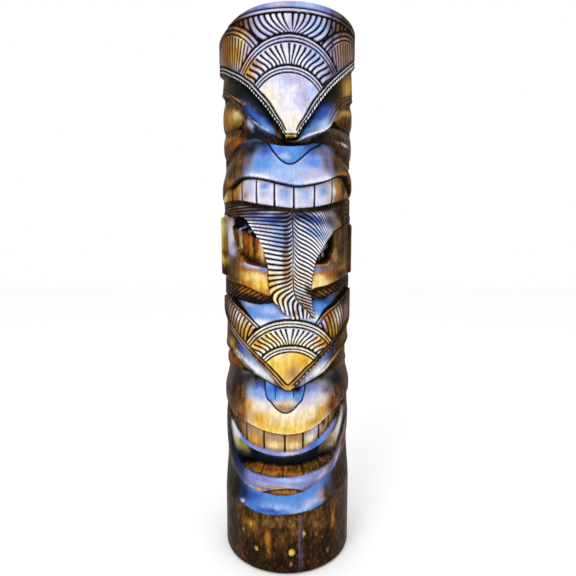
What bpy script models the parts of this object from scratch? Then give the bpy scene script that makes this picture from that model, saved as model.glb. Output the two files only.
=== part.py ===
"""A tiki totem: one round log with two heads carved into it, one above the other.

The log stands on its sawn foot, upright along +Z, and its faces look along -Y. The carving is a depth cut
into the log. It is drawn on the log's unrolled side: "turn" is the angle about the log in degrees, 0 at the
front and positive to the right, and "rise" is the height in thousandths of the log's own height. Depths and
all distances on the drawing are in those same thousandths, called units.
"""
import math

import bpy
import numpy as np

# Sizes of the log, in metres
HEIGHT = 1.0
TOP_RADIUS = 0.129
BASE_RADIUS = 0.1255
RIM_ROUNDING = 0.003
# Where the rim is worn rounder: (depth in metres, middle and reach in degrees)
WORN_RIM = ((0.024, -75.0, 42.0), (0.005, 76.0, 24.0))
FOOT_ROUNDING = 0.006

# Depths of the carving, in metres
BROW_CLIFF = 0.017
TEETH_DEPTH = 0.014
MOUTH_DEPTH = 0.036
GUM_DEPTH = 0.016
MOUTH_SIDE_DEPTH = 0.006
RING_DEPTH = 0.009
LIP_DEPTH = 0.005
NECK_DEPTH = 0.008
TONGUE_FALL = 0.006
LINE_DEPTH = 0.0022
FLUTE_DEPTH = 0.0020

# Fineness of the surface: grid steps in degrees and units, and the triangles kept
FRONT_STEP = 1.25
BACK_STEP = 7.5
RISE_STEP = 2.5
FRONT_REACH = 120.0
TRIANGLES = 9700

UNIT = HEIGHT / 1000
TOP = 1000.0
# Units along the log's side for each degree of turn, on a log whose radius is 128 units
AROUND = math.radians(1) * 128
# Farther from a line than this, in units, its distance is taken straight across
NEAR_LINE = 55.0

WOOD_COLOUR = (0.13, 0.065, 0.022, 1.0)
WOOD_ROUGHNESS = 0.42


# Lines of the drawing: (turn, rise) from left to right, or (rise, turn) for the edges that run down

# Upper head
BROW_1 = [(-110, 930), (-90, 924), (-75, 918), (-60, 905), (-50, 893), (-44, 886), (-38, 877), (-32, 867),
          (-26.6, 854), (-20.6, 840), (-15.3, 826), (-10.6, 812), (-6, 799), (-3.6, 789), (-2, 784), (3, 783.5),
          (8.6, 784), (10, 789), (12, 798), (15.6, 808), (20.5, 823), (25.5, 838), (31, 853), (37, 868),
          (45, 884), (56, 903), (66, 918), (78, 932), (90, 938), (110, 942)]
LID_1 = [(-110, 890), (-82, 884), (-70, 874), (-56, 858), (-44, 840), (-36, 825), (-30, 813), (-24, 804),
         (-16, 794), (-8, 785), (0, 777), (6, 776), (12, 780), (17, 786), (25, 796), (34, 805), (40, 815),
         (46, 828), (52, 841), (60, 854), (70, 864), (82, 873), (110, 880)]
MUZZLE_TOP_1 = [(-110, 745), (-85, 752), (-65, 763), (-54, 774), (-45, 783), (-30, 786), (-18, 779),
                (-8, 773), (3, 771), (14, 773), (29, 778), (40, 775), (54, 768), (75, 757), (110, 748)]
NOSE_1 = [(-40, 800), (-17, 777), (-11, 760), (-5, 746), (2, 739), (7, 742), (12, 750), (19, 763), (30, 776),
          (50, 800)]
MUZZLE_LOW_1 = [(-110, 684), (-80, 692), (-62, 703), (-52, 712), (-44, 719), (-33, 720), (-19, 715),
                (-6, 708), (8, 703), (22, 707), (36, 715), (48, 725), (62, 727), (74, 716), (85, 704),
                (110, 690)]
TEETH_LOW_1 = [(-110, 678), (-80, 684), (-60, 684), (-45, 682), (-30, 676), (-12, 670), (6, 666), (25, 669),
               (46, 678), (62, 686), (80, 692), (110, 684)]
TEETH_GAPS_1 = (-59, -45, -28, -11, 6, 25, 45, 67)
TONGUE_LEFT = [(474, 14), (477, 5), (484, -2), (492, -6), (511, -12.5), (533, -15), (561, -16), (583, -19),
               (607, -23), (625, -29), (640, -35), (662, -37)]
TONGUE_RIGHT = [(474, 24.5), (484, 23), (501, 21), (521, 20), (542, 21), (561, 23), (576, 25), (593, 31),
                (610, 37), (620, 42), (640, 44), (662, 44)]
TONGUE_MIDRIB = [(474, 21), (485, 18), (502, 10), (518, 6), (540, 5), (600, 5), (660, 4)]
HOLLOW_LEFT = [(560, -30), (576, -43), (597, -53), (623, -59.5), (644, -61), (660, -60)]
HOLLOW_LEFT_LOW = [(-75, 600), (-53, 584), (-43, 573), (-30, 566), (-18, 562), (0, 560)]
HOLLOW_LEFT_TOP = [(-95, 668), (-72, 661), (-60, 654), (-50, 653), (-40, 650), (-33, 637), (-28, 622), (-20, 598),
                   (-10, 560)]
HOLLOW_RIGHT = [(560, 30), (572, 40), (590, 46), (605, 48), (618, 47), (640, 47), (660, 48)]
HOLLOW_RIGHT_LOW = [(0, 568), (27, 568), (40, 570), (52, 578), (70, 600)]
HOLLOW_RIGHT_TOP = [(15, 545), (22, 560), (28, 590), (33, 604), (40, 621), (50, 631), (62, 640), (76, 650),
                    (95, 664)]
LIP_LOW_1 = [(-110, 548), (-80, 545), (-57, 536), (-38, 530), (-15, 514), (5, 508), (24, 527), (36, 531),
             (50, 539), (70, 548), (110, 552)]
BEARD_LOW = [(-110, 500), (-72, 506), (-52, 503), (-43, 501), (-26, 497), (-13, 500), (5, 502), (24, 505),
             (36, 509), (50, 516), (70, 522), (110, 510)]

# Lower head
BROW_2 = [(-110, 492), (-85, 480), (-68, 462), (-58, 446), (-44, 424), (-40, 418), (-35, 410), (-30, 402),
          (-25, 394), (-20, 385), (-15, 375), (-10, 364), (-6, 354), (-3, 348), (4, 347), (7.5, 354), (12, 363),
          (17, 374), (25, 388), (32, 402), (40, 413), (49, 426), (65, 445), (82, 462), (110, 474)]
LID_2 = [(-110, 425), (-82, 406), (-66, 402), (-49, 392), (-40, 379), (-33, 371), (-20, 362), (-11, 353),
         (0, 345), (6, 346), (13, 351), (20, 358), (29, 367), (37, 376), (44, 388), (56, 402), (72, 414),
         (110, 425)]
MUZZLE_TOP_2 = [(-110, 352), (-80, 360), (-62, 368), (-48, 370), (-33, 368), (-20, 360), (-11, 351),
                (0, 343), (6, 343), (13, 348), (24, 356), (38, 365), (54, 371), (76, 372), (110, 365)]
NOSE_2 = [(-40, 372), (-21, 349), (-19, 334), (-14, 322), (-9, 311), (-2, 304), (5, 309), (10, 319),
          (15, 332), (17, 347), (40, 372)]
MUZZLE_LOW_2 = [(-110, 322), (-80, 302), (-59, 285), (-45, 280), (-31, 274), (-19, 268), (-6, 264), (5, 264),
                (17, 268), (28, 277), (37, 288), (48, 299), (64, 310), (80, 316), (110, 322)]
TEETH_LOW_2 = [(-110, 300), (-80, 278), (-60, 256), (-42, 240), (-23, 233), (-6, 230), (2, 230), (15, 235),
               (32, 251), (49, 273), (64, 292), (80, 304), (110, 312)]
TEETH_GAPS_2 = (-42, -22, -2, 15, 31, 43)
RING_LOW_2 = [(-110, 292), (-80, 268), (-66, 252), (-52, 238), (-34, 228), (-21, 223), (-3, 221), (13, 225),
              (27, 233), (40, 246), (52, 266), (64, 284), (80, 298), (110, 306)]
LOWER_TEETH_TOP = [(-80, 216), (-64, 198), (-27, 196), (-7, 196), (16, 198), (38, 204), (58, 212), (80, 230)]
LOWER_GAPS = (-46, -25, -4, 15, 33)
LIP_TOP_2 = [(-110, 292), (-82, 272), (-70, 248), (-60, 219), (-50, 195), (-36, 184), (-20, 182), (-3, 182),
             (13, 185), (27, 189), (38, 193), (47, 202), (56, 226), (66, 254), (80, 280), (110, 300)]
LIP_LOW_2 = [(-110, 250), (-90, 214), (-75, 186), (-60, 172), (-47, 160), (-32, 153), (-20, 149), (-6, 147),
             (10, 151), (26, 162), (38, 172), (52, 184), (66, 200), (80, 226), (110, 262)]
CHIN_ARC = [(-60, 120), (-24, 148), (-16, 155), (-8, 160), (0, 162), (8, 160), (14, 154), (40, 120)]
NECK_LOW = [(-110, 118), (-64, 117), (-44, 120), (-27, 116), (-16, 115), (-5, 117), (10, 120), (25, 125),
            (34, 131), (44, 138), (60, 140), (110, 132)]

# Scallops: (turn, rise) of the centre and the radius of the outermost line, in units
SCALLOP_1 = (2.0, 838, 110)
SIDE_SCALLOPS_1 = ((-62.0, 875, 110), (66.0, 868, 110))
INNER_SCALLOP_1 = (1.0, 818, 80)
SCALLOP_2 = (2.5, 360, 112)
INNER_SCALLOP_2 = (3.0, 351, 76)
RING_RISE = 985
WING_2 = [(-90, 530), (-64, 511), (-51, 497), (-36, 479), (-22, 456), (-10, 430), (14, 430), (24, 463),
          (34, 484), (45, 495), (54, 505), (90, 530)]


def curve(points):
    """A smooth line through the points, as a function, straight beyond its ends."""
    places, values = np.array(points, dtype=float).T
    slopes = np.gradient(values, places)

    def line(place):
        index = np.clip(np.searchsorted(places, place) - 1, 0, len(places) - 2)
        span = places[index + 1] - places[index]
        share = (place - places[index]) / span
        inside = np.clip(share, 0, 1)
        rise = values[index + 1] - values[index]
        start = slopes[index] * span
        end = slopes[index + 1] * span
        cubic = start + end - 2 * rise
        square = 3 * rise - 2 * start - end
        beyond = (share - inside) * np.where(share < 0, start, end)
        return values[index] + ((cubic * inside + square) * inside + start) * inside + beyond

    return line


def eased(low, high, value):
    """0 up to low, 1 from high on, and a smooth change between them."""
    share = np.clip((value - low) / (high - low), 0, 1)
    return share * share * (3 - 2 * share)


def mix(first, second, share):
    return first + (second - first) * share


def from_line(line, place, value, place_unit, value_unit):
    """Signed distance from a line to each point, by steps toward the nearest place on the line."""
    near = np.array(place, dtype=float)
    for _ in range(4):
        slope = (line(near + 0.25) - line(near - 0.25)) * 2 * value_unit
        off = (value - line(near)) * value_unit
        along = (place - near) * place_unit * place_unit + off * slope
        near = near + np.clip(along / (place_unit ** 2 + slope ** 2), -6 / place_unit, 6 / place_unit)
    distance = np.hypot((place - near) * place_unit, (value - line(near)) * value_unit)
    return distance * np.sign(value - line(place))


def above(points, turn, rise):
    """Distance above a line that runs across, in units, negative below it."""
    line = curve(points)
    distance = rise - line(turn)
    near = np.abs(distance) < NEAR_LINE
    distance[near] = from_line(line, turn[near], rise[near], AROUND, 1.0)
    return distance


def right_of(points, turn, rise):
    """Distance to the right of an edge that runs down, in units, negative left of it."""
    edge = curve(points)
    distance = (turn - edge(rise)) * AROUND
    near = np.abs(distance) < NEAR_LINE
    distance[near] = from_line(edge, rise[near], turn[near], 1.0, AROUND)
    return distance


def between(upper, lower, turn, rise):
    """Share of the way down from one line across to another, 0 to 1."""
    top = curve(upper)(turn)
    span = np.maximum(top - curve(lower)(turn), 1)
    return np.clip((top - rise) / span, 0, 1)


def groove(distance, width):
    """1 along the middle of a groove and 0 from half its width on."""
    return 1 - eased(0, width / 2, np.abs(distance))


def dome(turn, rise, centre, radii):
    """1 on top of a rounded mound and 0 from its edge on."""
    reach = ((turn - centre[0]) / radii[0]) ** 2 + ((rise - centre[1]) / radii[1]) ** 2
    return np.sqrt(np.clip(1 - reach, 0, 1))


def from_centre(scallop, turn, rise):
    """Distance from a scallop's centre, in units."""
    return np.hypot((turn - scallop[0]) * AROUND, rise - scallop[1])


def flute(phase):
    """Grooves at the whole numbers of phase, with a rounded rib between each two."""
    return 1 - eased(0.0, 0.34, np.abs(phase - np.round(phase)))


def gaps(turns, turn, width):
    """Gaps between teeth that stand in a row."""
    return sum(groove((turn - place) * AROUND, width) for place in turns)


# The fans. The solid keeps every second flute, twice as wide, which is what shows from a step away

# A fan's flutes are told apart by where they start on its upper edge: (middle, half width) of the widest petal
# and the pitch of the others, in units along the crown's straight edge and in degrees about a scallop's centre
CROWN_PETALS = (-7.7, 8.6, 20.4)
FAN_PETALS_1 = (-4.6, 4.2, 11.6)
FAN_PETALS_2 = (-0.5, 4.3, 11.8)
CROWN_MIDDLE = 4.0
# How the flutes run inward: the share of the way down where they begin and end it, the part of the way out
# that those of a scallop keep, and how much more they keep the farther out they start
FLUTE_SWEEP = (0.08, 0.95)
FAN_KEPT = 0.35
FLUTE_LEAN = 0.0085
SIDE_CORNERS_1 = ((-51.0, 785), (53.0, 785))
WING_PITCH = 16.0
WING_BEND = 15.0
SIDE_STEP = 5.6
TONGUE_PITCH = 14.8
# Grooves side by side along an arc: (distance inside the outermost, width), and how wide they are together
ARC_GROOVES = ((0.0, 6.6), (6.4, 4.4), (12.2, 5.2))
ARC_BAND = 15.5


def started(across, share, kept):
    """Where the flute through each place starts on its fan's upper edge, by the share of the way down.

    At the foot it has kept a part of its way out from the middle, and more the farther out it starts."""
    sweep = 0.999 * eased(*FLUTE_SWEEP, share)
    stay = 1 - (1 - kept) * sweep
    return 2 * across / (stay + np.sqrt(stay ** 2 + 4 * FLUTE_LEAN * sweep * np.abs(across)))


def petals(start, layout):
    middle, half, pitch = layout
    phase = (np.abs(start - middle) - half) / pitch
    return flute(np.maximum(phase, -0.5))


def crown_petals(turn, rise, top, foot):
    """The crown's flutes, upright at its straight upper edge."""
    share = (top - rise) / np.maximum(top - foot, 4)
    return petals(started((turn - CROWN_MIDDLE) * AROUND, share, 0.0), CROWN_PETALS)


def fan_petals(turn, rise, outer_arc, inner_arc, layout):
    """The flutes between two arcs, at right angles to the outer one."""
    outside = outer_arc[2] - ARC_BAND - from_centre(outer_arc, turn, rise)
    inside = from_centre(inner_arc, turn, rise) - inner_arc[2] - 2
    share = outside / np.maximum(outside + inside, 1)
    centre = mix(outer_arc[1], inner_arc[1], np.clip(share, 0, 1))
    angle = np.degrees(np.arctan2((turn - outer_arc[0]) * AROUND, rise - centre))
    return petals(started(angle, share, FAN_KEPT), layout)


def side_feathers(turn, rise, corner):
    """Long thin flutes that spread upward from a corner."""
    angle = np.degrees(np.arctan2((turn - corner[0]) * AROUND, rise - corner[1]))
    return flute(angle / SIDE_STEP)


def wing_feathers(turn, rise):
    """Flutes that rise from the lower brow's border and bend in toward the scallop."""
    low = curve(BROW_2)(turn) + 12
    high = curve(WING_2)(turn) - 7
    share = np.clip((rise - low) / np.maximum(high - low, 4), 0, 1)
    across = np.abs(turn - 3) * AROUND + WING_BEND * share ** 2
    return flute(across / WING_PITCH)


def arc_height(scallop, turn, radius):
    """Rise of the top half of a circle about a scallop's centre, level beyond its sides."""
    across = np.clip(np.abs(turn - scallop[0]) * AROUND, 0, radius * 0.98)
    return scallop[1] + np.sqrt(radius ** 2 - across ** 2)


def arc_lines(distance, radius):
    return sum(groove(distance - radius + inside, width) for inside, width in ARC_GROOVES)


def border_lines(inside):
    """The two grooves along a brow shield's edge, by the distance inside it."""
    return groove(inside - 6.0, 5.0) + groove(inside - 12.4, 5.6)


def shield_1(turn, rise):
    """Depth on the upper head's crown and brow shield."""
    centre = from_centre(SCALLOP_1, turn, rise)
    inner = from_centre(INNER_SCALLOP_1, turn, rise)
    sides = [from_centre(side, turn, rise) for side in SIDE_SCALLOPS_1]
    side = np.where(turn < SCALLOP_1[0], sides[0], sides[1])
    side_radius = SIDE_SCALLOPS_1[0][2]
    inside = above(BROW_1, turn, rise)
    in_centre = centre < SCALLOP_1[2] + 2
    in_inner = inner < INNER_SCALLOP_1[2] + 2
    in_side = (side < side_radius + 2) & ~in_centre
    lines = groove(rise - RING_RISE - 3.2, 4.6) + groove(rise - RING_RISE + 4.0, 5.6)
    lines = lines + arc_lines(side, side_radius) * ~in_centre
    lines = lines + arc_lines(centre, SCALLOP_1[2]) * ~in_inner
    lines = lines + arc_lines(inner, INNER_SCALLOP_1[2])
    ring_low = RING_RISE - 6.0
    crown = ~in_centre & ~in_side & (rise < ring_low)
    fans = crown_petals(turn, rise, ring_low, arc_height(SCALLOP_1, turn, SCALLOP_1[2] + 2)) * crown
    low_fan = (centre < SCALLOP_1[2] - ARC_BAND) & ~in_inner
    fans = fans + fan_petals(turn, rise, SCALLOP_1, INNER_SCALLOP_1, FAN_PETALS_1) * low_fan
    side_fan = in_side & (side < side_radius - ARC_BAND)
    left, right = [side_feathers(turn, rise, corner) for corner in SIDE_CORNERS_1]
    fans = fans + np.where(turn < 0, left, right) * side_fan * (np.abs(turn) < 100)
    keep = eased(13.5, 15, inside)
    edge = border_lines(inside)
    line_depth = LINE_DEPTH / UNIT
    return np.maximum(lines * line_depth * keep, edge * line_depth) + fans * FLUTE_DEPTH / UNIT * keep


def eyes_1(turn, rise):
    """Depth between the upper brow and the muzzle: sloping lid bands, eyes and cheeks."""
    cliff = BROW_CLIFF / UNIT
    band = mix(cliff, cliff * 0.55, between(BROW_1, LID_1, turn, rise) ** 0.8)
    under_lid = above(LID_1, turn, rise)
    ridge = groove(under_lid - 1.5, 7) * eased(18, 30, np.abs(turn))
    socket = cliff * 1.1 + 4 * (1 - eased(10, 26, np.abs(turn - 3)))
    eyeballs = dome(turn, rise, (-66, 838), (27, 31)) + dome(turn, rise, (68, 838), (24, 26))
    cheeks = dome(turn, rise, (-64, 786), (25, 27)) + dome(turn, rise, (60, 783), (30, 30))
    low = socket - 11 * np.maximum(eyeballs, cheeks)
    return mix(low, band - 2.2 * ridge, eased(-2, 2, under_lid))


def muzzle_1(turn, rise):
    """Depth on the upper head's muzzle, with the nose standing on it."""
    share = between(MUZZLE_TOP_1, MUZZLE_LOW_1, turn, rise)
    cut = 3 + 13 * (1 - eased(-0.15, 0.75, share))
    nose = above(NOSE_1, turn, rise)
    cut = cut + 3.4 * groove(nose, 5) - 3.5 * eased(0, 10, nose) * (1 - eased(20, 34, np.abs(turn - 2)))
    edge = above(MUZZLE_LOW_1, turn, rise)
    return cut + 2 * (1 - eased(0, 5, edge))


def teeth_row(turn, rise, upper, lower, places):
    """Depth on a row of upper teeth between two lines, each tooth a little rounded."""
    depth = TEETH_DEPTH / UNIT
    under_lip = groove(above(upper, turn, rise), 7)
    share = between(upper, lower, turn, rise)
    return depth - 1.2 * np.sin(np.pi * share) + 4 * under_lip + 4 * gaps(places, turn, 4.6)


def teeth_row_1(turn, rise):
    """The upper head's upper teeth, which run out into the cheek at the left."""
    row = 1 - eased(54, 64, -turn)
    return mix(MOUTH_SIDE_DEPTH / UNIT, teeth_row(turn, rise, MUZZLE_LOW_1, TEETH_LOW_1, TEETH_GAPS_1), row)


def teeth_row_2(turn, rise):
    return teeth_row(turn, rise, MUZZLE_LOW_2, TEETH_LOW_2, TEETH_GAPS_2)


def tongue(turn, rise):
    """Depth on the leaf-shaped tongue: a midrib with wavy flutes falling to both sides of it."""
    side = right_of(TONGUE_MIDRIB, turn, rise)
    out = np.abs(side)
    left_slope = curve([(470, 1.5), (490, 1.25), (510, 0.7), (540, 0.15), (570, -0.1), (610, -0.18), (665, 0.0)])
    right_slope = curve([(470, 1.6), (490, 1.0), (510, 0.6), (550, 0.3), (590, 0.3), (625, 0.3), (665, 0.2)])
    slope = np.where(side < 0, left_slope(rise), right_slope(rise))
    spring = 12 * (1 - np.exp(-out / 5)) * eased(500, 560, rise)
    phase = (rise + slope * out + spring) / TONGUE_PITCH
    ribs = flute(phase) * eased(1.5, 4, out)
    midrib = groove(side, 4.5)
    fall = TONGUE_FALL / UNIT
    side_cut = fall * (1 - np.exp(-0.0012 * out ** 2 / fall))
    return 1.5 + side_cut + 1.6 * midrib + ribs * FLUTE_DEPTH / UNIT


def hollows(turn, rise):
    """Distance inside the two mouth hollows beside the tongue, negative outside them."""
    left = np.minimum(right_of(HOLLOW_LEFT, turn, rise), above(HOLLOW_LEFT_LOW, turn, rise))
    right = np.minimum(-right_of(HOLLOW_RIGHT, turn, rise), above(HOLLOW_RIGHT_LOW, turn, rise))
    left = np.minimum(left, -above(HOLLOW_LEFT_TOP, turn, rise))
    right = np.minimum(right, -above(HOLLOW_RIGHT_TOP, turn, rise))
    return np.where(turn < 4, left, right)


def on_tongue(turn, rise):
    """Distance inside the tongue and its wings above the hollows, negative outside them."""
    left = np.maximum(right_of(TONGUE_LEFT, turn, rise), above(HOLLOW_LEFT_TOP, turn, rise))
    right = np.maximum(-right_of(TONGUE_RIGHT, turn, rise), above(HOLLOW_RIGHT_TOP, turn, rise))
    return np.minimum(np.where(turn < 4, left, right), rise - 473)


def mouth_1(turn, rise):
    """Depth around the upper mouth: lip, hollows with lower teeth, side tabs and the beard."""
    face = MOUTH_SIDE_DEPTH / UNIT - 2.0 * eased(556, 536, rise)
    tab = eased(-69, -71, turn) * eased(545, 549, rise) * eased(657, 655, rise)
    face = mix(face, -2.0, tab)
    tab = eased(73, 76, turn) * eased(545, 550, rise) * eased(645, 640, rise)
    face = mix(face, 1.0, tab)
    inside = hollows(turn, rise)
    depth = MOUTH_DEPTH / UNIT
    rim = face + 4.0 * eased(-11, -1, inside)
    floor = mix(depth * 0.72, depth, eased(630, 634, rise))
    teeth = 3.0 * gaps((-50, -36, 38), turn, 4) * (rise < 632)
    face = mix(rim, floor - teeth, eased(-0.5, 3.5, inside))
    lip = above(LIP_LOW_1, turn, rise)
    beard = 10.0 - 2.5 * eased(0, -12, lip) + 3 * eased(6, 0, above(BEARD_LOW, turn, rise))
    face = mix(beard, face, eased(-2, 2, lip))
    face = mix(face, tongue(turn, rise), eased(-1.5, 2.0, on_tongue(turn, rise)))
    gum = eased(-13, -2, above(TEETH_LOW_1, turn, rise)) * (1 - eased(52, 64, np.abs(turn)))
    return mix(face, GUM_DEPTH / UNIT, gum)


def shield_2(turn, rise):
    """Depth on the lower head's crown and brow shield."""
    centre = from_centre(SCALLOP_2, turn, rise)
    inner = from_centre(INNER_SCALLOP_2, turn, rise)
    wing = above(WING_2, turn, rise)
    inside = above(BROW_2, turn, rise)
    in_centre = centre < SCALLOP_2[2] + 2
    in_inner = inner < INNER_SCALLOP_2[2] + 2
    crown = ~in_centre & (wing > 0)
    lines = (groove(wing, 5.0) + groove(wing + 5.8, 4.6)) * ~in_centre
    lines = lines + arc_lines(centre, SCALLOP_2[2]) * ~in_inner
    lines = lines + arc_lines(inner, INNER_SCALLOP_2[2])
    low_fan = (centre < SCALLOP_2[2] - ARC_BAND) & ~in_inner
    fans = fan_petals(turn, rise, SCALLOP_2, INNER_SCALLOP_2, FAN_PETALS_2) * low_fan
    wings = ~in_centre & (wing < -8)
    fans = fans + wing_feathers(turn, rise) * wings * (np.abs(turn) < 100)
    keep = eased(13, 15, inside)
    line_depth = LINE_DEPTH / UNIT
    carved = np.maximum(lines * line_depth * keep, border_lines(inside) * line_depth)
    carved = carved + fans * FLUTE_DEPTH / UNIT * keep
    hollow = 9.0 * eased(462, 500, rise) * crown
    return 3.0 + carved + hollow


def eyes_2(turn, rise):
    """Depth between the lower brow and the muzzle."""
    cliff = BROW_CLIFF / UNIT * 0.8
    band = mix(cliff, cliff * 0.6, between(BROW_2, LID_2, turn, rise))
    under_lid = above(LID_2, turn, rise)
    ridge = groove(under_lid - 1.5, 6) * eased(22, 34, np.abs(turn))
    mounds = dome(turn, rise, (-66, 384), (26, 18)) + dome(turn, rise, (64, 384), (22, 17))
    low = cliff * 1.25 - 9 * mounds
    return mix(low, band - 1.6 * ridge, eased(-2, 2, under_lid))


def muzzle_2(turn, rise):
    """Depth on the lower head's muzzle, with the nose standing on it."""
    share = between(MUZZLE_TOP_2, MUZZLE_LOW_2, turn, rise)
    cut = 3.5 + 12.5 * (1 - eased(-0.1, 0.7, share))
    nose = above(NOSE_2, turn, rise)
    nose = np.minimum(nose, 42 - np.abs(turn + 2) * AROUND)
    cut = cut + 3.0 * groove(nose, 5) - 3.5 * eased(0, 9, nose)
    edge = above(MUZZLE_LOW_2, turn, rise)
    return cut + 2 * (1 - eased(0, 5, edge))


def mouth_2(turn, rise):
    """Depth in the open lower mouth: the ring under the teeth, the dark opening and the lower teeth."""
    ring = RING_DEPTH / UNIT + 2.5 * groove(above(TEETH_LOW_2, turn, rise), 4)
    ring_edge = above(RING_LOW_2, turn, rise)
    opening = MOUTH_DEPTH / UNIT * 0.85
    lower = above(LOWER_TEETH_TOP, turn, rise)
    toward_lip = eased(12, 0, rise - curve(LIP_TOP_2)(turn))
    teeth = MOUTH_DEPTH / UNIT * 0.62 - 11 * toward_lip + 3 * gaps(LOWER_GAPS, turn, 4)
    floor = mix(teeth, opening, eased(-2, 2, lower))
    corner = eased(46, 58, np.abs(turn + 2))
    floor = mix(floor, 12.0, corner)
    return mix(floor, ring, eased(-1.5, 1.5, ring_edge))


def lip_2(turn, rise):
    """Depth on the lower lip, with the arched notch of the chin in its lower edge."""
    share = between(LIP_TOP_2, LIP_LOW_2, turn, rise)
    cut = LIP_DEPTH / UNIT + 3.0 * (2 * share - 0.9) ** 2
    chin = above(CHIN_ARC, turn, rise)
    return cut + 3.5 * eased(1, -1.5, chin) + 1.5 * groove(chin, 4)


def neck(turn, rise):
    """Depth on the hollow band under the lip, which runs out into the foot."""
    share = between(LIP_LOW_2, NECK_LOW, turn, rise)
    return NECK_DEPTH / UNIT * (1 - eased(0.1, 1.1, share)) + 1.0


def base(turn, rise):
    return np.full_like(rise, 1.0)


# Zones from the crown down: the line that each begins under, how wide its step is, and its depth
ZONES = (
    (BROW_1, 4.0, eyes_1),
    (MUZZLE_TOP_1, 5.0, muzzle_1),
    (MUZZLE_LOW_1, 3.0, teeth_row_1),
    (TEETH_LOW_1, 3.0, mouth_1),
    (BEARD_LOW, 4.0, shield_2),
    (BROW_2, 4.0, eyes_2),
    (MUZZLE_TOP_2, 5.0, muzzle_2),
    (MUZZLE_LOW_2, 3.0, teeth_row_2),
    (TEETH_LOW_2, 3.0, mouth_2),
    (LIP_TOP_2, 4.0, lip_2),
    (LIP_LOW_2, 4.0, neck),
    (NECK_LOW, 6.0, base),
)
SIDE_FADE = (66.0, 122.0)


def carving(turn, rise):
    """Depth cut into the log at each place, in units."""
    cut = shield_1(turn, rise)
    for line, width, zone in ZONES:
        under = eased(-width / 2, width / 2, -above(line, turn, rise))
        cut = mix(cut, zone(turn, rise), under)
    low_tongue = eased(-1.5, 2.0, on_tongue(turn, rise)) * (rise < 530)
    cut = mix(cut, tongue(turn, rise), low_tongue)
    front = 1 - eased(SIDE_FADE[0], SIDE_FADE[1], np.abs(turn))
    return cut * front


def log_radius(rise):
    return mix(BASE_RADIUS, TOP_RADIUS, rise / TOP)


def surface(turn, rise):
    """Distance of the carved surface from the log's axis, in metres."""
    worn = RIM_ROUNDING
    for depth, middle, reach in WORN_RIM:
        worn = worn + depth * np.exp(-((turn - middle) / reach) ** 2)
    rounding = worn * (1 - np.clip((TOP - rise) * UNIT / worn, 0, 1)) ** 2
    rounding += FOOT_ROUNDING * (1 - np.clip(rise * UNIT / FOOT_ROUNDING, 0, 1)) ** 2
    return log_radius(rise) - carving(turn, rise) * UNIT - rounding


def turns_round():
    """Columns of the grid: fine over the carved front, coarse over the plain back."""
    front = np.arange(-FRONT_REACH, FRONT_REACH, FRONT_STEP)
    back = np.arange(FRONT_REACH, 360 - FRONT_REACH, BACK_STEP)
    return np.concatenate([front, back])


def make_totem():
    turns = turns_round()
    rises = np.linspace(0, TOP, int(TOP / RISE_STEP) + 1)
    turn, rise = np.meshgrid(turns, rises)
    signed = (turn + 180) % 360 - 180
    radius = surface(signed, rise)
    angle = np.radians(turn)
    points = np.stack([radius * np.sin(angle), -radius * np.cos(angle), rise * UNIT], axis=-1)
    columns, rows = len(turns), len(rises)
    column, row = np.meshgrid(np.arange(columns), np.arange(rows - 1))
    start = row * columns + column
    beside = row * columns + (column + 1) % columns
    quads = np.stack([start, beside, beside + columns, start + columns], axis=-1).reshape(-1, 4)
    foot = [(0.0, 0.0, 0.0)]
    crown = [(0.0, 0.0, HEIGHT)]
    middle = rows * columns
    ring = np.arange(columns)
    after = (ring + 1) % columns
    top_ring = (rows - 1) * columns
    caps = [(middle, int(b), int(a)) for a, b in zip(ring, after)]
    caps += [(middle + 1, int(top_ring + a), int(top_ring + b)) for a, b in zip(ring, after)]
    mesh = bpy.data.meshes.new("totem")
    vertices = points.reshape(-1, 3).tolist() + foot + crown
    mesh.from_pydata(vertices, [], quads.tolist() + caps)
    totem = bpy.data.objects.new("totem", mesh)
    bpy.context.scene.collection.objects.link(totem)
    thin = totem.modifiers.new("thin", "DECIMATE")
    thin.ratio = TRIANGLES / (2 * len(quads) + len(caps))
    thin.use_collapse_triangulate = True
    return totem


def wood():
    material = bpy.data.materials.new("stained wood")
    material.use_nodes = True
    shader = material.node_tree.nodes["Principled BSDF"]
    shader.inputs["Base Color"].default_value = WOOD_COLOUR
    shader.inputs["Roughness"].default_value = WOOD_ROUGHNESS
    shader.inputs["Metallic"].default_value = 0.0
    return material


def main():
    for item in list(bpy.data.objects):
        bpy.data.objects.remove(item)
    totem = make_totem()
    totem.data.materials.append(wood())
    totem.data.shade_smooth()


main()
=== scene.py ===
"""The looks of a tiki totem: one round log with two heads carved into it, stained, painted and waxed.

The carving is a depth cut into the log. It is drawn on the log's unrolled side: "turn" is the angle about
the log in degrees, 0 at the front and positive to the right, and "rise" is the height in thousandths of the
log's own height. Depths and all distances on the drawing are in those same thousandths, called units. "ink"
is the share of dark stain that lies in a groove, 0 to 1.
"""
import math

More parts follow.
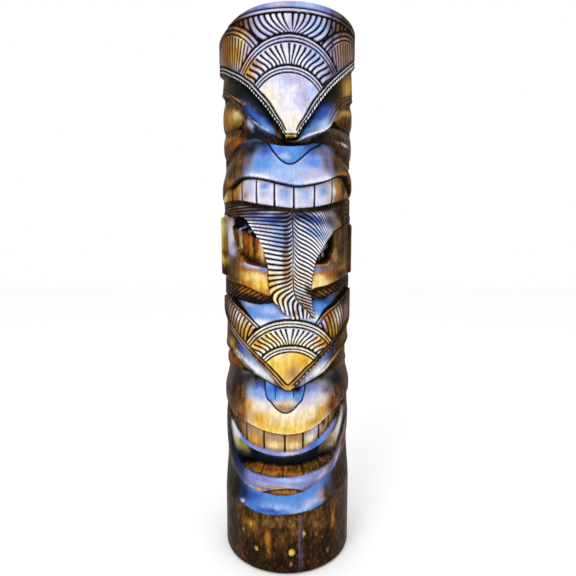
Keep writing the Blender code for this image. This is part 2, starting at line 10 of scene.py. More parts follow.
import bpy
import numpy as np
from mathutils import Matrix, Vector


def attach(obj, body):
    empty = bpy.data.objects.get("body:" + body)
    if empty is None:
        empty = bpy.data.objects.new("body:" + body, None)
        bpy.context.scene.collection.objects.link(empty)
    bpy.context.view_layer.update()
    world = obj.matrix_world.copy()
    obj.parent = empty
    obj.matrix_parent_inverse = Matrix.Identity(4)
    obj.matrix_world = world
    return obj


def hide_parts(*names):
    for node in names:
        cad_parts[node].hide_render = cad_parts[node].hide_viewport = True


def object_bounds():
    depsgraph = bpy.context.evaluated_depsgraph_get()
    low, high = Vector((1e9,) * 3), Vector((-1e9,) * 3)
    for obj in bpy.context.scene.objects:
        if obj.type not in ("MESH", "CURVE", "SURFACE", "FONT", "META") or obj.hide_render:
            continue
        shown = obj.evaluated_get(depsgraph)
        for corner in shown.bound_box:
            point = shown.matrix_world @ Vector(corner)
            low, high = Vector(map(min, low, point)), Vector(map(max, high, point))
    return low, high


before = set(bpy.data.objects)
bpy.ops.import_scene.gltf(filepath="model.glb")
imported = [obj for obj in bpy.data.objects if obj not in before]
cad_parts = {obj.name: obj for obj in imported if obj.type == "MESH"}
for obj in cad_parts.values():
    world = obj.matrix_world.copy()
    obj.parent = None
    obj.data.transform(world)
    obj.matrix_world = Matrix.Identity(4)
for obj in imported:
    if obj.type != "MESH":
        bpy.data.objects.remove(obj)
cad_low, cad_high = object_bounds()

# Sizes of the log, in metres
HEIGHT = cad_high.z - cad_low.z
TOP_RADIUS = (cad_high.x - cad_low.x) / 2
BASE_RADIUS = TOP_RADIUS - 0.0035
RIM_ROUNDING = 0.003
# Where the rim is worn rounder: (depth in metres, middle and reach in degrees)
WORN_RIM = ((0.024, -75.0, 42.0), (0.005, 76.0, 24.0))
FOOT_ROUNDING = 0.006
UNIT = HEIGHT / 1000
TOP = 1000.0
# Units along the log's side for each degree of turn, on a log whose radius is 128 units
AROUND = math.radians(1) * 128

# Depths of the carving, in units
BROW_CLIFF = 17.0
TEETH_DEPTH = 14.0
MOUTH_DEPTH = 36.0
GUM_DEPTH = 16.0
NECK_DEPTH = 8.0
TONGUE_FALL = 6.0
MOUTH_SIDE_DEPTH = 6.0
LINE_DEPTH = 2.2
FLUTE_DEPTH = 2.2

# Fineness of the surface: grid steps in degrees and units, and the triangles kept
FRONT_STEP = 0.52
BACK_STEP = 1.5
FRONT_REACH = 93.0
CARVED_STEP = 1.25
BASE_STEP = 2.0
BASE_TOP = 112.0
TRIANGLES = 194000
# Farther from a line than this, in units, its distance is taken straight across
NEAR_LINE = 55.0


# Lines of the drawing: (turn, rise) from left to right, or (rise, turn) for the edges that run down

# Upper head
BROW_1 = [(-110, 930), (-90, 924), (-75, 918), (-60, 905), (-50, 893), (-44, 886), (-38, 877), (-32, 867),
          (-26.6, 854), (-20.6, 840), (-15.3, 826), (-10.6, 812), (-6, 799), (-3.6, 789), (-2, 784),
          (3, 783.5), (8.6, 784), (10, 789), (12, 798), (15.6, 808), (20.5, 823), (25.5, 838), (31, 853),
          (37, 868), (45, 884), (56, 903), (66, 918), (78, 932), (90, 938), (110, 942)]
LID_1 = [(-110, 890), (-82, 884), (-70, 874), (-56, 858), (-44, 840), (-36, 825), (-30, 813), (-24, 804),
         (-16, 794), (-8, 785), (0, 777), (6, 776), (12, 780), (17, 785), (25, 792), (34, 799), (40, 809),
         (46, 827), (52, 841), (60, 854), (70, 864), (82, 873), (110, 880)]
MUZZLE_TOP_1 = [(-110, 745), (-85, 752), (-65, 763), (-54, 774), (-45, 783), (-30, 786), (-18, 779),
                (-8, 773), (3, 771), (14, 773), (29, 778), (40, 775), (54, 768), (75, 757), (110, 748)]
NOSE_1 = [(-40, 800), (-17, 777), (-11, 760), (-5, 746), (2, 739), (7, 742), (12, 750), (19, 763),
          (30, 776), (50, 800)]
MUZZLE_LOW_1 = [(-110, 684), (-80, 692), (-62, 703), (-52, 712), (-44, 719), (-33, 720), (-19, 715),
                (-6, 708), (8, 703), (22, 707), (36, 715), (48, 725), (62, 727), (74, 716), (85, 704),
                (110, 690)]
TEETH_LOW_1 = [(-110, 678), (-80, 684), (-60, 684), (-45, 682), (-30, 676), (-12, 670), (6, 666),
               (25, 669), (46, 678), (62, 686), (80, 692), (110, 684)]
TEETH_GAPS_1 = (-59, -45, -28, -11, 6, 25, 45, 67)
TONGUE_LEFT = [(474, 14), (477, 5), (484, -2), (492, -6), (511, -12.5), (533, -15), (561, -16),
               (583, -19), (607, -23), (625, -29), (640, -35), (662, -37)]
TONGUE_RIGHT = [(474, 24.5), (484, 23), (501, 21), (521, 20), (542, 21), (561, 23), (576, 25), (593, 31),
                (610, 37), (620, 42), (640, 44), (662, 44)]
TONGUE_MIDRIB = [(474, 21), (485, 18), (502, 10), (518, 6), (540, 5), (600, 5), (660, 4)]
HOLLOW_LEFT = [(560, -30), (576, -43), (597, -53), (623, -59.5), (644, -61), (660, -60)]
HOLLOW_LEFT_LOW = [(-75, 600), (-53, 584), (-43, 573), (-30, 566), (-18, 562), (0, 560)]
HOLLOW_LEFT_TOP = [(-95, 668), (-72, 661), (-60, 654), (-50, 653), (-40, 650), (-33, 637), (-28, 622),
                   (-20, 598), (-10, 560)]
HOLLOW_RIGHT_TOP = [(15, 545), (22, 560), (28, 590), (33, 604), (40, 621), (50, 631), (62, 640),
                    (76, 650), (95, 664)]
HOLLOW_RIGHT = [(560, 30), (572, 40), (590, 46), (605, 48), (618, 47), (640, 47), (660, 48)]
HOLLOW_RIGHT_LOW = [(0, 568), (27, 568), (40, 570), (52, 578), (70, 600)]
LIP_LOW_1 = [(-110, 548), (-80, 545), (-57, 536), (-38, 530), (-15, 514), (5, 508), (24, 527), (36, 531),
             (50, 539), (70, 548), (110, 552)]
BEARD_LOW = [(-110, 500), (-72, 506), (-52, 503), (-43, 501), (-26, 497), (-13, 500), (5, 502), (24, 505),
             (36, 509), (50, 516), (70, 522), (110, 510)]

# Lower head
BROW_2 = [(-110, 492), (-85, 480), (-68, 462), (-58, 446), (-44, 424), (-40, 418), (-35, 410), (-30, 402),
          (-25, 394), (-20, 385), (-15, 375), (-10, 364), (-6, 354), (-3, 348), (4, 347), (7.5, 354),
          (12, 363), (17, 374), (25, 388), (32, 402), (40, 413), (49, 426), (65, 445), (82, 462),
          (110, 474)]
LID_2 = [(-110, 425), (-82, 406), (-66, 402), (-49, 392), (-40, 379), (-33, 371), (-20, 362), (-11, 353),
         (0, 345), (6, 346), (13, 351), (20, 358), (29, 367), (37, 376), (44, 388), (56, 402), (72, 414),
         (110, 425)]
MUZZLE_TOP_2 = [(-110, 352), (-80, 360), (-62, 368), (-48, 370), (-33, 368), (-20, 360), (-11, 351),
                (0, 343), (6, 343), (13, 348), (24, 356), (38, 365), (54, 371), (76, 372), (110, 365)]
NOSE_2 = [(-40, 372), (-21, 349), (-19, 334), (-14, 322), (-9, 311), (-2, 304), (5, 309), (10, 319),
          (15, 332), (17, 347), (40, 372)]
MUZZLE_LOW_2 = [(-110, 322), (-80, 302), (-59, 285), (-45, 280), (-31, 274), (-19, 268), (-6, 264),
                (5, 264), (17, 268), (28, 277), (37, 288), (48, 299), (64, 310), (80, 316), (110, 322)]
TEETH_LOW_2 = [(-110, 300), (-80, 278), (-60, 256), (-42, 240), (-23, 233), (-6, 230), (2, 230),
               (15, 235), (32, 251), (49, 273), (64, 292), (80, 304), (110, 312)]
TEETH_GAPS_2 = (-42, -22, -2, 15, 31, 43)
RING_LOW_2 = [(-110, 292), (-80, 268), (-66, 252), (-52, 238), (-34, 228), (-21, 223), (-3, 221),
              (13, 225), (27, 233), (40, 246), (52, 266), (64, 284), (80, 298), (110, 306)]
LOWER_TEETH_TOP = [(-80, 216), (-64, 198), (-27, 196), (-7, 196), (16, 198), (38, 204), (58, 212),
                   (80, 230)]
LOWER_GAPS = (-46, -25, -4, 15, 33)
LIP_TOP_2 = [(-110, 292), (-82, 272), (-70, 248), (-60, 219), (-50, 195), (-36, 184), (-20, 182),
             (-3, 182), (13, 185), (27, 189), (38, 193), (47, 202), (56, 226), (66, 254), (80, 280),
             (110, 300)]
LIP_LOW_2 = [(-110, 250), (-90, 214), (-75, 186), (-60, 172), (-47, 160), (-32, 153), (-20, 149),
             (-6, 147), (10, 151), (26, 162), (38, 172), (52, 184), (66, 200), (80, 226), (110, 262)]
CHIN_ARC = [(-60, 120), (-24, 148), (-16, 155), (-8, 160), (0, 162), (8, 160), (14, 154), (40, 120)]
NECK_LOW = [(-110, 118), (-64, 117), (-44, 120), (-27, 116), (-16, 115), (-5, 117), (10, 120), (25, 125),
            (34, 131), (44, 138), (60, 140), (110, 132)]

# Scallops: (turn, rise) of the centre and the radius of the outermost line, in units
SCALLOP_1 = (2.0, 838, 110)
SIDE_SCALLOPS_1 = ((-62.0, 875, 110), (66.0, 868, 110))
INNER_SCALLOP_1 = (1.0, 818, 80)
SCALLOP_2 = (2.5, 360, 112)
INNER_SCALLOP_2 = (3.0, 351, 76)
RING_RISE = 985
WING_2 = [(-90, 530), (-64, 511), (-51, 497), (-36, 479), (-22, 456), (-10, 430), (14, 430), (24, 463),
          (34, 484), (45, 495), (54, 505), (90, 530)]
# Grooves side by side along an arc: (distance inside the outermost, width)
ARC_GROOVES = ((0.0, 7.4), (6.6, 4.0), (12.4, 5.4))
INNER_GROOVES = ((0.0, 7.0), (6.2, 3.8), (11.4, 4.6))
SIDE_GROOVES = ((0.0, 6.5), (7.8, 4.8), (14.5, 4.2))
# How wide such a group is, and from middle to middle of the beads along the upper brow
ARC_BAND = 15.5
BEAD_PITCH = 6.4
# The beads' middle line and the line above them, by distance inside the upper brow
BEAD_INSIDE = 3.5
EDGE_LINE_1 = 11.9
# The rings under the upper rim and the lines inside the lower brow and under its crown: (distance, width)
RINGS = ((3.2, 4.6), (-4.0, 5.6))
EDGE_LINES_2 = ((5.2, 4.0), (11.0, 5.4))
WING_LINES = ((0.0, 5.0), (-5.8, 4.6))
# Wrinkles over the upper eyes: (distance above the lid, width)
WRINKLES = ((6.5, 2.6), (11.5, 2.4))
# Mounds: (turn, rise) of the middle and half width and half height
EYEBALLS_1 = (((-66, 838), (27, 31)), ((68, 838), (24, 26)))
CHEEKS_1 = (((-64, 786), (25, 27)), ((60, 783), (30, 30)))
EYEBALLS_2 = (((-66, 384), (26, 18)), ((64, 384), (22, 17)))
# The side tabs: the turns and rises between which they begin and end, and how deep their faces lie
TABS = (((-69, -71), (545, 549), (657, 655), -2.0), ((73, 76), (545, 550), (645, 640), 1.0))
# The lower teeth's gaps inside the hollows, and how high they reach
HOLLOW_GAPS = (-50.5, -36.5, 38)
HOLLOW_GAPS_TOP = 632
# How far the tongue's ribs climb for each unit away from its midrib, by rise
LEFT_CLIMB = [(470, 1.5), (490, 1.25), (510, 0.7), (540, 0.15), (570, -0.1), (610, -0.18), (665, 0.0)]
RIGHT_CLIMB = [(470, 1.6), (490, 1.0), (510, 0.6), (550, 0.3), (590, 0.3), (625, 0.3), (665, 0.2)]
TONGUE_TIP = 473
# Below this rise the tongue lies over the lower head's crown
TONGUE_OVER_CROWN = 530
# The turn at which what belongs to the left gives way to what belongs to the right, at the tongue
TONGUE_MIDDLE = 4
# Half width of the lower nose, in units, and the turn of its middle
NOSE_2_REACH = 42
NOSE_2_MIDDLE = -2
# Knots in the foot: turn, rise, half width and half height in units
KNOTS = ((4, 44, 8.5, 9.0), (-27, 43, 7.0, 6.0))


def curve(points):
    """A smooth line through the points, as a function, straight beyond its ends."""
    places, values = np.array(points, dtype=float).T
    slopes = np.gradient(values, places)

    def line(place):
        index = np.clip(np.searchsorted(places, place) - 1, 0, len(places) - 2)
        span = places[index + 1] - places[index]
        share = (place - places[index]) / span
        inside = np.clip(share, 0, 1)
        rise = values[index + 1] - values[index]
        start = slopes[index] * span
        end = slopes[index + 1] * span
        cubic = start + end - 2 * rise
        square = 3 * rise - 2 * start - end
        beyond = (share - inside) * np.where(share < 0, start, end)
        return values[index] + ((cubic * inside + square) * inside + start) * inside + beyond

    return line


def eased(low, high, value):
    """0 up to low, 1 from high on, and a smooth change between them."""
    share = np.clip((value - low) / (high - low), 0, 1)
    return share * share * (3 - 2 * share)


def step(distance, width=1.6):
    """1 where a distance is above 0, with a soft edge."""
    return eased(-width / 2, width / 2, distance)


def mix(first, second, share):
    return first + (second - first) * share


def from_line(line, place, value, place_unit, value_unit):
    """Signed distance from a line to each point, by steps toward the nearest place on the line."""
    near = np.array(place, dtype=float)
    for _ in range(4):
        slope = (line(near + 0.25) - line(near - 0.25)) * 2 * value_unit
        off = (value - line(near)) * value_unit
        along = (place - near) * place_unit * place_unit + off * slope
        near = near + np.clip(along / (place_unit ** 2 + slope ** 2), -6 / place_unit, 6 / place_unit)
    distance = np.hypot((place - near) * place_unit, (value - line(near)) * value_unit)
    return distance * np.sign(value - line(place))


def off_line(points, place, value, place_unit, value_unit):
    """Signed distance from a line, straight across to it where it is far away."""
    line = curve(points)
    distance = (value - line(place)) * value_unit
    near = np.abs(distance) < NEAR_LINE
    distance[near] = from_line(line, place[near], value[near], place_unit, value_unit)
    return distance


def above(points, turn, rise):
    """Distance above a line that runs across, in units, negative below it."""
    return off_line(points, turn, rise, AROUND, 1.0)


def right_of(points, turn, rise):
    """Distance to the right of an edge that runs down, in units, negative left of it."""
    return off_line(points, rise, turn, 1.0, AROUND)


def between(upper, lower, turn, rise):
    """Share of the way down from one line across to another, 0 to 1."""
    top = curve(upper)(turn)
    span = np.maximum(top - curve(lower)(turn), 1)
    return np.clip((top - rise) / span, 0, 1)


def groove(distance, width):
    """1 along the middle of a groove and 0 from half its width on."""
    return 1 - eased(0, width / 2, np.abs(distance))


def grooves(distance, layout):
    """Grooves side by side, each at its own distance and with its own width."""
    return sum(groove(distance - place, width) for place, width in layout)


def domes(turn, rise, mounds):
    """1 on top of each rounded mound and 0 from its edge on."""
    total = 0.0 * rise
    for (at_turn, at_rise), (wide, high) in mounds:
        reach = ((turn - at_turn) / wide) ** 2 + ((rise - at_rise) / high) ** 2
        total = total + np.sqrt(np.clip(1 - reach, 0, 1))
    return total


def from_centre(scallop, turn, rise):
    """Distance from a scallop's centre, in units."""
    return np.hypot((turn - scallop[0]) * AROUND, rise - scallop[1])


def flute(phase, width=0.30):
    """Grooves at the whole numbers of phase, with a rounded rib between each two."""
    return 1 - eased(0.05, width, np.abs(phase - np.round(phase)))


def gaps(turns, turn, width):
    """Gaps between teeth that stand in a row."""
    return sum(groove((turn - place) * AROUND, width) for place in turns)


def blended(table, column, row):
    """A table's values between its places, which go all the way round from the last column to the first."""
    left = np.floor(column).astype(int)
    low = np.minimum(np.floor(row).astype(int), len(table) - 2)
    across = column - left
    left = left % table.shape[1]
    beside = (left + 1) % table.shape[1]
    bottom = mix(table[low, left], table[low, beside], across)
    return mix(bottom, mix(table[low + 1, left], table[low + 1, beside], across), row - low)


def noise(turn, rise, across, up, seed):
    """Smooth noise from 0 to 1 with patches of a set size in units, the same all the way round."""
    count = max(3, round(360 * AROUND / across))
    levels = int(TOP / up) + 3
    table = np.random.default_rng(seed).random((levels, count))
    column = (turn % 360) / 360 * count
    row = np.clip(rise / up, 0, levels - 2)
    column = np.floor(column) + eased(0, 1, column % 1)
    return blended(table, column, np.floor(row) + eased(0, 1, row % 1))


def tool_marks(turn, rise, across, up, seed):
    """Shallow dishes left by a gouge: 0 on the edges between them and 1 in the middle of each."""
    count = round(360 * AROUND / across)
    random = np.random.default_rng(seed)
    levels = int(TOP / up) + 4
    shift = random.random((levels, count, 2))
    column = (turn % 360) / 360 * count
    row = rise / up + 1
    nearest = np.full_like(rise, 9.0)
    for step_x in (-1, 0, 1):
        for step_y in (-1, 0, 1):
            cell_x = np.floor(column).astype(int) + step_x
            cell_y = np.clip(np.floor(row).astype(int) + step_y, 0, levels - 1)
            place = shift[cell_y, cell_x % count]
            reach = (cell_x + place[..., 0] - column) ** 2 + (cell_y + place[..., 1] - row) ** 2
            nearest = np.minimum(nearest, reach)
    return 1 - np.clip(nearest, 0, 1)


# The fans and feathers

# A fan's flutes are told apart by where they start on its upper edge: middle and half width of the widest
# petal and the pitch of the others, in units along the crown's straight edge, in degrees about a scallop
CROWN_PETALS = (-7.7, 8.6, 10.2)
FAN_PETALS_1 = (-4.6, 4.2, 5.8)
FAN_PETALS_2 = (-0.5, 4.3, 5.9)
CROWN_MIDDLE = 4.0
# How the crown's flutes gather toward its middle on the way down, the part of the way out that those of a
# scallop keep, and how much more they keep the farther out they start
CROWN_SWEEP = 1.5
FAN_KEPT = 0.35
FLUTE_LEAN = 0.0085
SIDE_CORNERS_1 = ((-51.0, 785), (53.0, 785))
WING_PITCH = 8.0
WING_BEND = 15.0
SIDE_STEP = 2.8
TONGUE_PITCH = 7.4


def started(across, sweep, kept):
    """Where the flute through each place starts on its fan's upper edge, by how much of its sweep is done.

    At the foot it has kept a part of its way out from the middle, and more the farther out it starts."""
    stay = 1 - (1 - kept) * sweep
    return 2 * across / (stay + np.sqrt(stay ** 2 + 4 * FLUTE_LEAN * sweep * np.abs(across)))


def petals(start, layout):
    middle, half, pitch = layout
    phase = (np.abs(start - middle) - half) / pitch
    return flute(np.maximum(phase, -0.5), 0.34)


def crown_petals(turn, rise, top, foot):
    """The crown's flutes, upright at its straight upper edge."""
    share = np.clip((top - rise) / np.maximum(top - foot, 4), 0, 0.999)
    return petals(started((turn - CROWN_MIDDLE) * AROUND, share ** CROWN_SWEEP, 0.0), CROWN_PETALS)


def fan_petals(turn, rise, outer_arc, inner_arc, layout):
    """The flutes between two arcs, at right angles to the outer one."""
    outside = outer_arc[2] - ARC_BAND - from_centre(outer_arc, turn, rise)
    inside = from_centre(inner_arc, turn, rise) - inner_arc[2] - 2
    share = np.clip(outside / np.maximum(outside + inside, 1), 0, 1)
    centre = mix(outer_arc[1], inner_arc[1], share)
    angle = np.degrees(np.arctan2((turn - outer_arc[0]) * AROUND, rise - centre))
    return petals(started(angle, mix(share, eased(0, 1, share), 0.6), FAN_KEPT), layout)


def side_feathers(turn, rise, corner):
    """Long thin flutes that spread upward from a corner."""
    angle = np.degrees(np.arctan2((turn - corner[0]) * AROUND, rise - corner[1]))
    return flute(angle / SIDE_STEP, 0.36)


def wing_feathers(turn, rise):
    """Flutes that rise from the lower brow's border and bend in toward the scallop."""
    low = curve(BROW_2)(turn) + 12
    high = curve(WING_2)(turn) - 7
    share = np.clip((rise - low) / np.maximum(high - low, 4), 0, 1)
    across = np.abs(turn - 3) * AROUND + WING_BEND * share ** 2
    return flute(across / WING_PITCH, 0.34)


def arc_lines(distance, radius, layout):
    return grooves(radius - distance, layout)


def arc_height(scallop, turn, radius):
    """Rise of the top half of a circle about a scallop's centre, level beyond its sides."""
    across = np.clip(np.abs(turn - scallop[0]) * AROUND, 0, radius * 0.98)
    return scallop[1] + np.sqrt(radius ** 2 - across ** 2)


def border_1(turn, rise):
    """Grooves and beads along the upper shield's edge: their depth's share, ink and the distance inside."""
    taper = mix(0.64, 1.0, eased(795, 850, rise))
    inside = above(BROW_1, turn, rise) / taper
    lines = groove(inside - EDGE_LINE_1, 7.0) * eased(790, 796, rise)
    along = np.hypot(turn * AROUND, curve(BROW_1)(turn) - 784) / BEAD_PITCH
    side = step(turn - 3)
    from_bead = np.abs(along - np.round(along)) * BEAD_PITCH * mix(0.7, 1.0, side)
    bead = eased(2.4, 1.4, np.hypot(from_bead, inside - BEAD_INSIDE) + mix(0.6, 0.0, side))
    strip = (1 - bead) * eased(8.6, 7.6, inside) * eased(90, 70, np.abs(turn)) * eased(786, 791, rise)
    return lines + strip, np.clip(1.6 * lines + strip, 0, 1), inside


def scallop_carving(turn, rise, outer, inner, layout):
    """The grooves along a scallop's arcs, the fan between them, and whether each place lies in it."""
    centre = from_centre(outer, turn, rise)
    middle = from_centre(inner, turn, rise)
    in_inner = middle < inner[2] + 2
    lines = arc_lines(centre, outer[2], ARC_GROOVES) * ~in_inner + arc_lines(middle, inner[2], INNER_GROOVES)
    fan = fan_petals(turn, rise, outer, inner, layout) * ((centre < outer[2] - ARC_BAND) & ~in_inner)
    return lines, fan, centre < outer[2] + 2


def engraved(lines, fans, keep, edge, edge_ink):
    """Depth and ink of a shield: its lines and fans where they are kept, and its edge."""
    cut = np.maximum(lines * keep, edge) * LINE_DEPTH + fans * keep * FLUTE_DEPTH
    return cut, np.maximum(np.clip(1.5 * lines, 0, 1) * keep, edge_ink) + fans * keep


def shield_1(turn, rise):
    """The upper head's crown and brow shield."""
    arcs, fans, in_centre = scallop_carving(turn, rise, SCALLOP_1, INNER_SCALLOP_1, FAN_PETALS_1)
    side = np.where(turn < SCALLOP_1[0], *[from_centre(side, turn, rise) for side in SIDE_SCALLOPS_1])
    side_radius = SIDE_SCALLOPS_1[0][2]
    in_side = (side < side_radius + 2) & ~in_centre
    lines = grooves(rise - RING_RISE, RINGS) + arc_lines(side, side_radius, SIDE_GROOVES) * ~in_centre + arcs
    ring_low = RING_RISE - 6.0
    crown_foot = arc_height(SCALLOP_1, turn, SCALLOP_1[2] + 2)
    crown = ~in_centre & ~in_side & (rise < ring_low)
    fans = fans + crown_petals(turn, rise, ring_low, crown_foot) * crown
    side_fan = in_side & (side < side_radius - ARC_BAND - 2) & (np.abs(turn) < 100)
    left, right = [side_feathers(turn, rise, corner) for corner in SIDE_CORNERS_1]
    fans = fans + np.where(turn < 0, left, right) * side_fan * 0.8
    edge, edge_ink, inside = border_1(turn, rise)
    return engraved(lines, fans, eased(14.0, 15.4, inside), edge, edge_ink)


def eyes_1(turn, rise):
    """Between the upper brow and the muzzle: sloping lid bands, eyes and cheeks."""
    band = mix(BROW_CLIFF, BROW_CLIFF * 0.55, between(BROW_1, LID_1, turn, rise) ** 0.8)
    over_lid = above(LID_1, turn, rise)
    outer = eased(18, 30, np.abs(turn))
    ridge = groove(over_lid - 1.5, 7) * outer
    wrinkles = grooves(over_lid, WRINKLES) * eased(34, 44, np.abs(turn))
    socket = BROW_CLIFF * 1.1 + 4 * (1 - eased(10, 26, np.abs(turn - 3)))
    eyeballs = domes(turn, rise, EYEBALLS_1)
    cheeks = domes(turn, rise, CHEEKS_1)
    low = socket - 11 * np.maximum(eyeballs, cheeks)
    crease = groove(eyeballs - cheeks, 0.5) * eased(40, 52, np.abs(turn))
    on_band = eased(-2, 2, over_lid)
    cut = mix(low + 1.5 * crease, band - 2.2 * ridge + 1.2 * wrinkles, on_band)
    ink = mix(0.75 * crease, 0.7 * wrinkles, on_band)
    fuller = 1 - 0.5 * eased(58, 80, turn) - 0.3 * eased(58, 80, -turn)
    return cut * fuller, ink


def muzzle_1(turn, rise):
    """The upper head's muzzle, with the nose standing on it."""
    share = between(MUZZLE_TOP_1, MUZZLE_LOW_1, turn, rise)
    cut = 3 + 13 * (1 - eased(-0.15, 0.75, share))
    nose = above(NOSE_1, turn, rise)
    outline = groove(nose, 4.6)
    cut = cut + 3.4 * outline - 3.5 * eased(0, 10, nose) * (1 - eased(20, 34, np.abs(turn - 2)))
    edge = above(MUZZLE_LOW_1, turn, rise)
    return cut + 2 * (1 - eased(0, 5, edge)), outline


def teeth_row(turn, rise, upper, lower, places):
    """A row of upper teeth between two lines, each tooth a little rounded."""
    # The dark line just under the lip: stain in its groove and painted shadow under the lip
    under_lip = groove(above(upper, turn, rise), 7)
    share = between(upper, lower, turn, rise)
    parting = gaps(places, turn, mix(4.4, 7.0, share))
    cut = TEETH_DEPTH - 1.2 * np.sin(np.pi * share) + 4 * under_lip + 4 * parting
    return cut, np.clip(under_lip + 1.3 * parting, 0, 1)


def teeth_row_1(turn, rise):
    cut, ink = teeth_row(turn, rise, MUZZLE_LOW_1, TEETH_LOW_1, TEETH_GAPS_1)
    row = 1 - eased(54, 64, -turn)
    return mix(MOUTH_SIDE_DEPTH, cut, row), ink * row


def teeth_row_2(turn, rise):
    return teeth_row(turn, rise, MUZZLE_LOW_2, TEETH_LOW_2, TEETH_GAPS_2)


def tongue(turn, rise):
    """The leaf-shaped tongue: a midrib with wavy flutes falling to both sides of it."""
    side = right_of(TONGUE_MIDRIB, turn, rise)
    out = np.abs(side)
    climb = np.where(side < 0, curve(LEFT_CLIMB)(rise), curve(RIGHT_CLIMB)(rise))
    spring = 12 * (1 - np.exp(-out / 5)) * eased(500, 560, rise)
    tail = np.where(side < 0, 0.0, 0.0001 * out ** 3)
    phase = (rise + climb * out + spring + tail) / TONGUE_PITCH
    ribs = flute(phase, mix(0.46, 0.36, eased(3, 30, out))) * eased(1.2, 3, out)
    midrib = groove(side, 4.5)
    fall = TONGUE_FALL * (1 - np.exp(-0.0012 * out ** 2 / TONGUE_FALL))
    return 1.5 + fall + 1.6 * midrib + ribs * FLUTE_DEPTH, np.clip(ribs + 0.5 * midrib, 0, 1)


def hollows(turn, rise):
    """Distance inside the two mouth hollows beside the tongue, negative outside them."""
    left = np.minimum(right_of(HOLLOW_LEFT, turn, rise), above(HOLLOW_LEFT_LOW, turn, rise))
    right = np.minimum(-right_of(HOLLOW_RIGHT, turn, rise), above(HOLLOW_RIGHT_LOW, turn, rise))
    left = np.minimum(left, -above(HOLLOW_LEFT_TOP, turn, rise))
    right = np.minimum(right, -above(HOLLOW_RIGHT_TOP, turn, rise))
    return np.where(turn < TONGUE_MIDDLE, left, right)


def on_tongue(turn, rise):
    """Distance inside the tongue and its wings above the hollows, negative outside them."""
    left = np.maximum(right_of(TONGUE_LEFT, turn, rise), above(HOLLOW_LEFT_TOP, turn, rise))
    right = np.maximum(-right_of(TONGUE_RIGHT, turn, rise), above(HOLLOW_RIGHT_TOP, turn, rise))
    return np.minimum(np.where(turn < TONGUE_MIDDLE, left, right), rise - TONGUE_TIP)


def mouth_1(turn, rise):
    """Around the upper mouth: lip, hollows with lower teeth, side tabs and the beard."""
    face = MOUTH_SIDE_DEPTH - 2.0 * eased(556, 536, rise)
    for edge, low, high, depth in TABS:
        face = mix(face, depth, eased(*edge, turn) * eased(*low, rise) * eased(*high, rise))
    inside = hollows(turn, rise)
    rim = face + 4.0 * eased(-11, -1, inside)
    toward_tongue = np.where(turn < TONGUE_MIDDLE, eased(-64, -30, turn), eased(56, 32, turn))
    floor = mix(0.30, 0.86, toward_tongue) * MOUTH_DEPTH
    floor = floor + 0.14 * MOUTH_DEPTH * eased(626, 632, rise - 0.5 * (-40 - turn))
    parting = gaps(HOLLOW_GAPS, turn, 3.4) * (rise < HOLLOW_GAPS_TOP)
    face = mix(rim, floor + 3.0 * parting, eased(-0.5, 3.5, inside))
    lip = above(LIP_LOW_1, turn, rise)
    hairs = flute((rise + np.abs(turn) * 1.1) / 7.5, 0.4) * eased(-2, -5, lip) * (np.abs(turn) < 80)
    beard = 10.0 - 2.5 * eased(0, -12, lip) + 3 * eased(6, 0, above(BEARD_LOW, turn, rise)) + 1.2 * hairs
    on_lip = eased(-2, 2, lip)
    face = mix(beard, face, on_lip)
    ink = 0.7 * hairs * (1 - on_lip)
    tongue_cut, tongue_ink = tongue(turn, rise)
    over = on_tongue(turn, rise)
    here = eased(-1.5, 2.0, over)
    face = mix(face, tongue_cut, here)
    ink = mix(ink, tongue_ink, here) + 0.9 * groove(over, 3.6)
    gum = eased(-13, -2, above(TEETH_LOW_1, turn, rise)) * (1 - eased(52, 64, np.abs(turn)))
    return mix(face, GUM_DEPTH, gum), mix(ink, 0.35, gum)


def shield_2(turn, rise):
    """The lower head's crown and brow shield."""
    arcs, fans, in_centre = scallop_carving(turn, rise, SCALLOP_2, INNER_SCALLOP_2, FAN_PETALS_2)
    wing = above(WING_2, turn, rise)
    inside = above(BROW_2, turn, rise)
    crown = ~in_centre & (wing > 0)
    lines = grooves(wing, WING_LINES) * ~in_centre + arcs
    wings = ~in_centre & (wing < -8) & (np.abs(turn) < 100)
    fans = fans + wing_feathers(turn, rise) * wings
    border = grooves(inside, EDGE_LINES_2) * eased(352, 358, rise)
    notched = np.hypot(turn * AROUND, rise - 348) / 8.5
    notches = flute(notched, 0.3) * eased(4.0, 3.0, inside) * eased(50, 44, np.abs(turn)) * (turn > 4)
    border = np.clip(border + 0.8 * notches, 0, 1)
    cut, ink = engraved(lines, fans, eased(12.5, 14, inside), border, np.clip(1.4 * border, 0, 1))
    hollow = 9.0 * eased(462, 500, rise) * crown
    return 3.0 + cut + hollow, ink


def eyes_2(turn, rise):
    """Between the lower brow and the muzzle."""
    cliff = BROW_CLIFF * 0.8
    band = mix(cliff, cliff * 0.6, between(BROW_2, LID_2, turn, rise))
    over_lid = above(LID_2, turn, rise)
    ridge = groove(over_lid - 1.5, 6) * eased(22, 34, np.abs(turn))
    wrinkle = groove(over_lid - 6.5, 2.4) * eased(26, 36, np.abs(turn))
    low = cliff * 1.25 - 9 * domes(turn, rise, EYEBALLS_2)
    on_band = eased(-2, 2, over_lid)
    return mix(low, band - 1.6 * ridge + wrinkle, on_band), 0.6 * wrinkle * on_band


def above_nose_2(turn, rise):
    """Distance above the lower nose's outline, also inward from its upright sides."""
    return np.minimum(above(NOSE_2, turn, rise), NOSE_2_REACH - np.abs(turn - NOSE_2_MIDDLE) * AROUND)


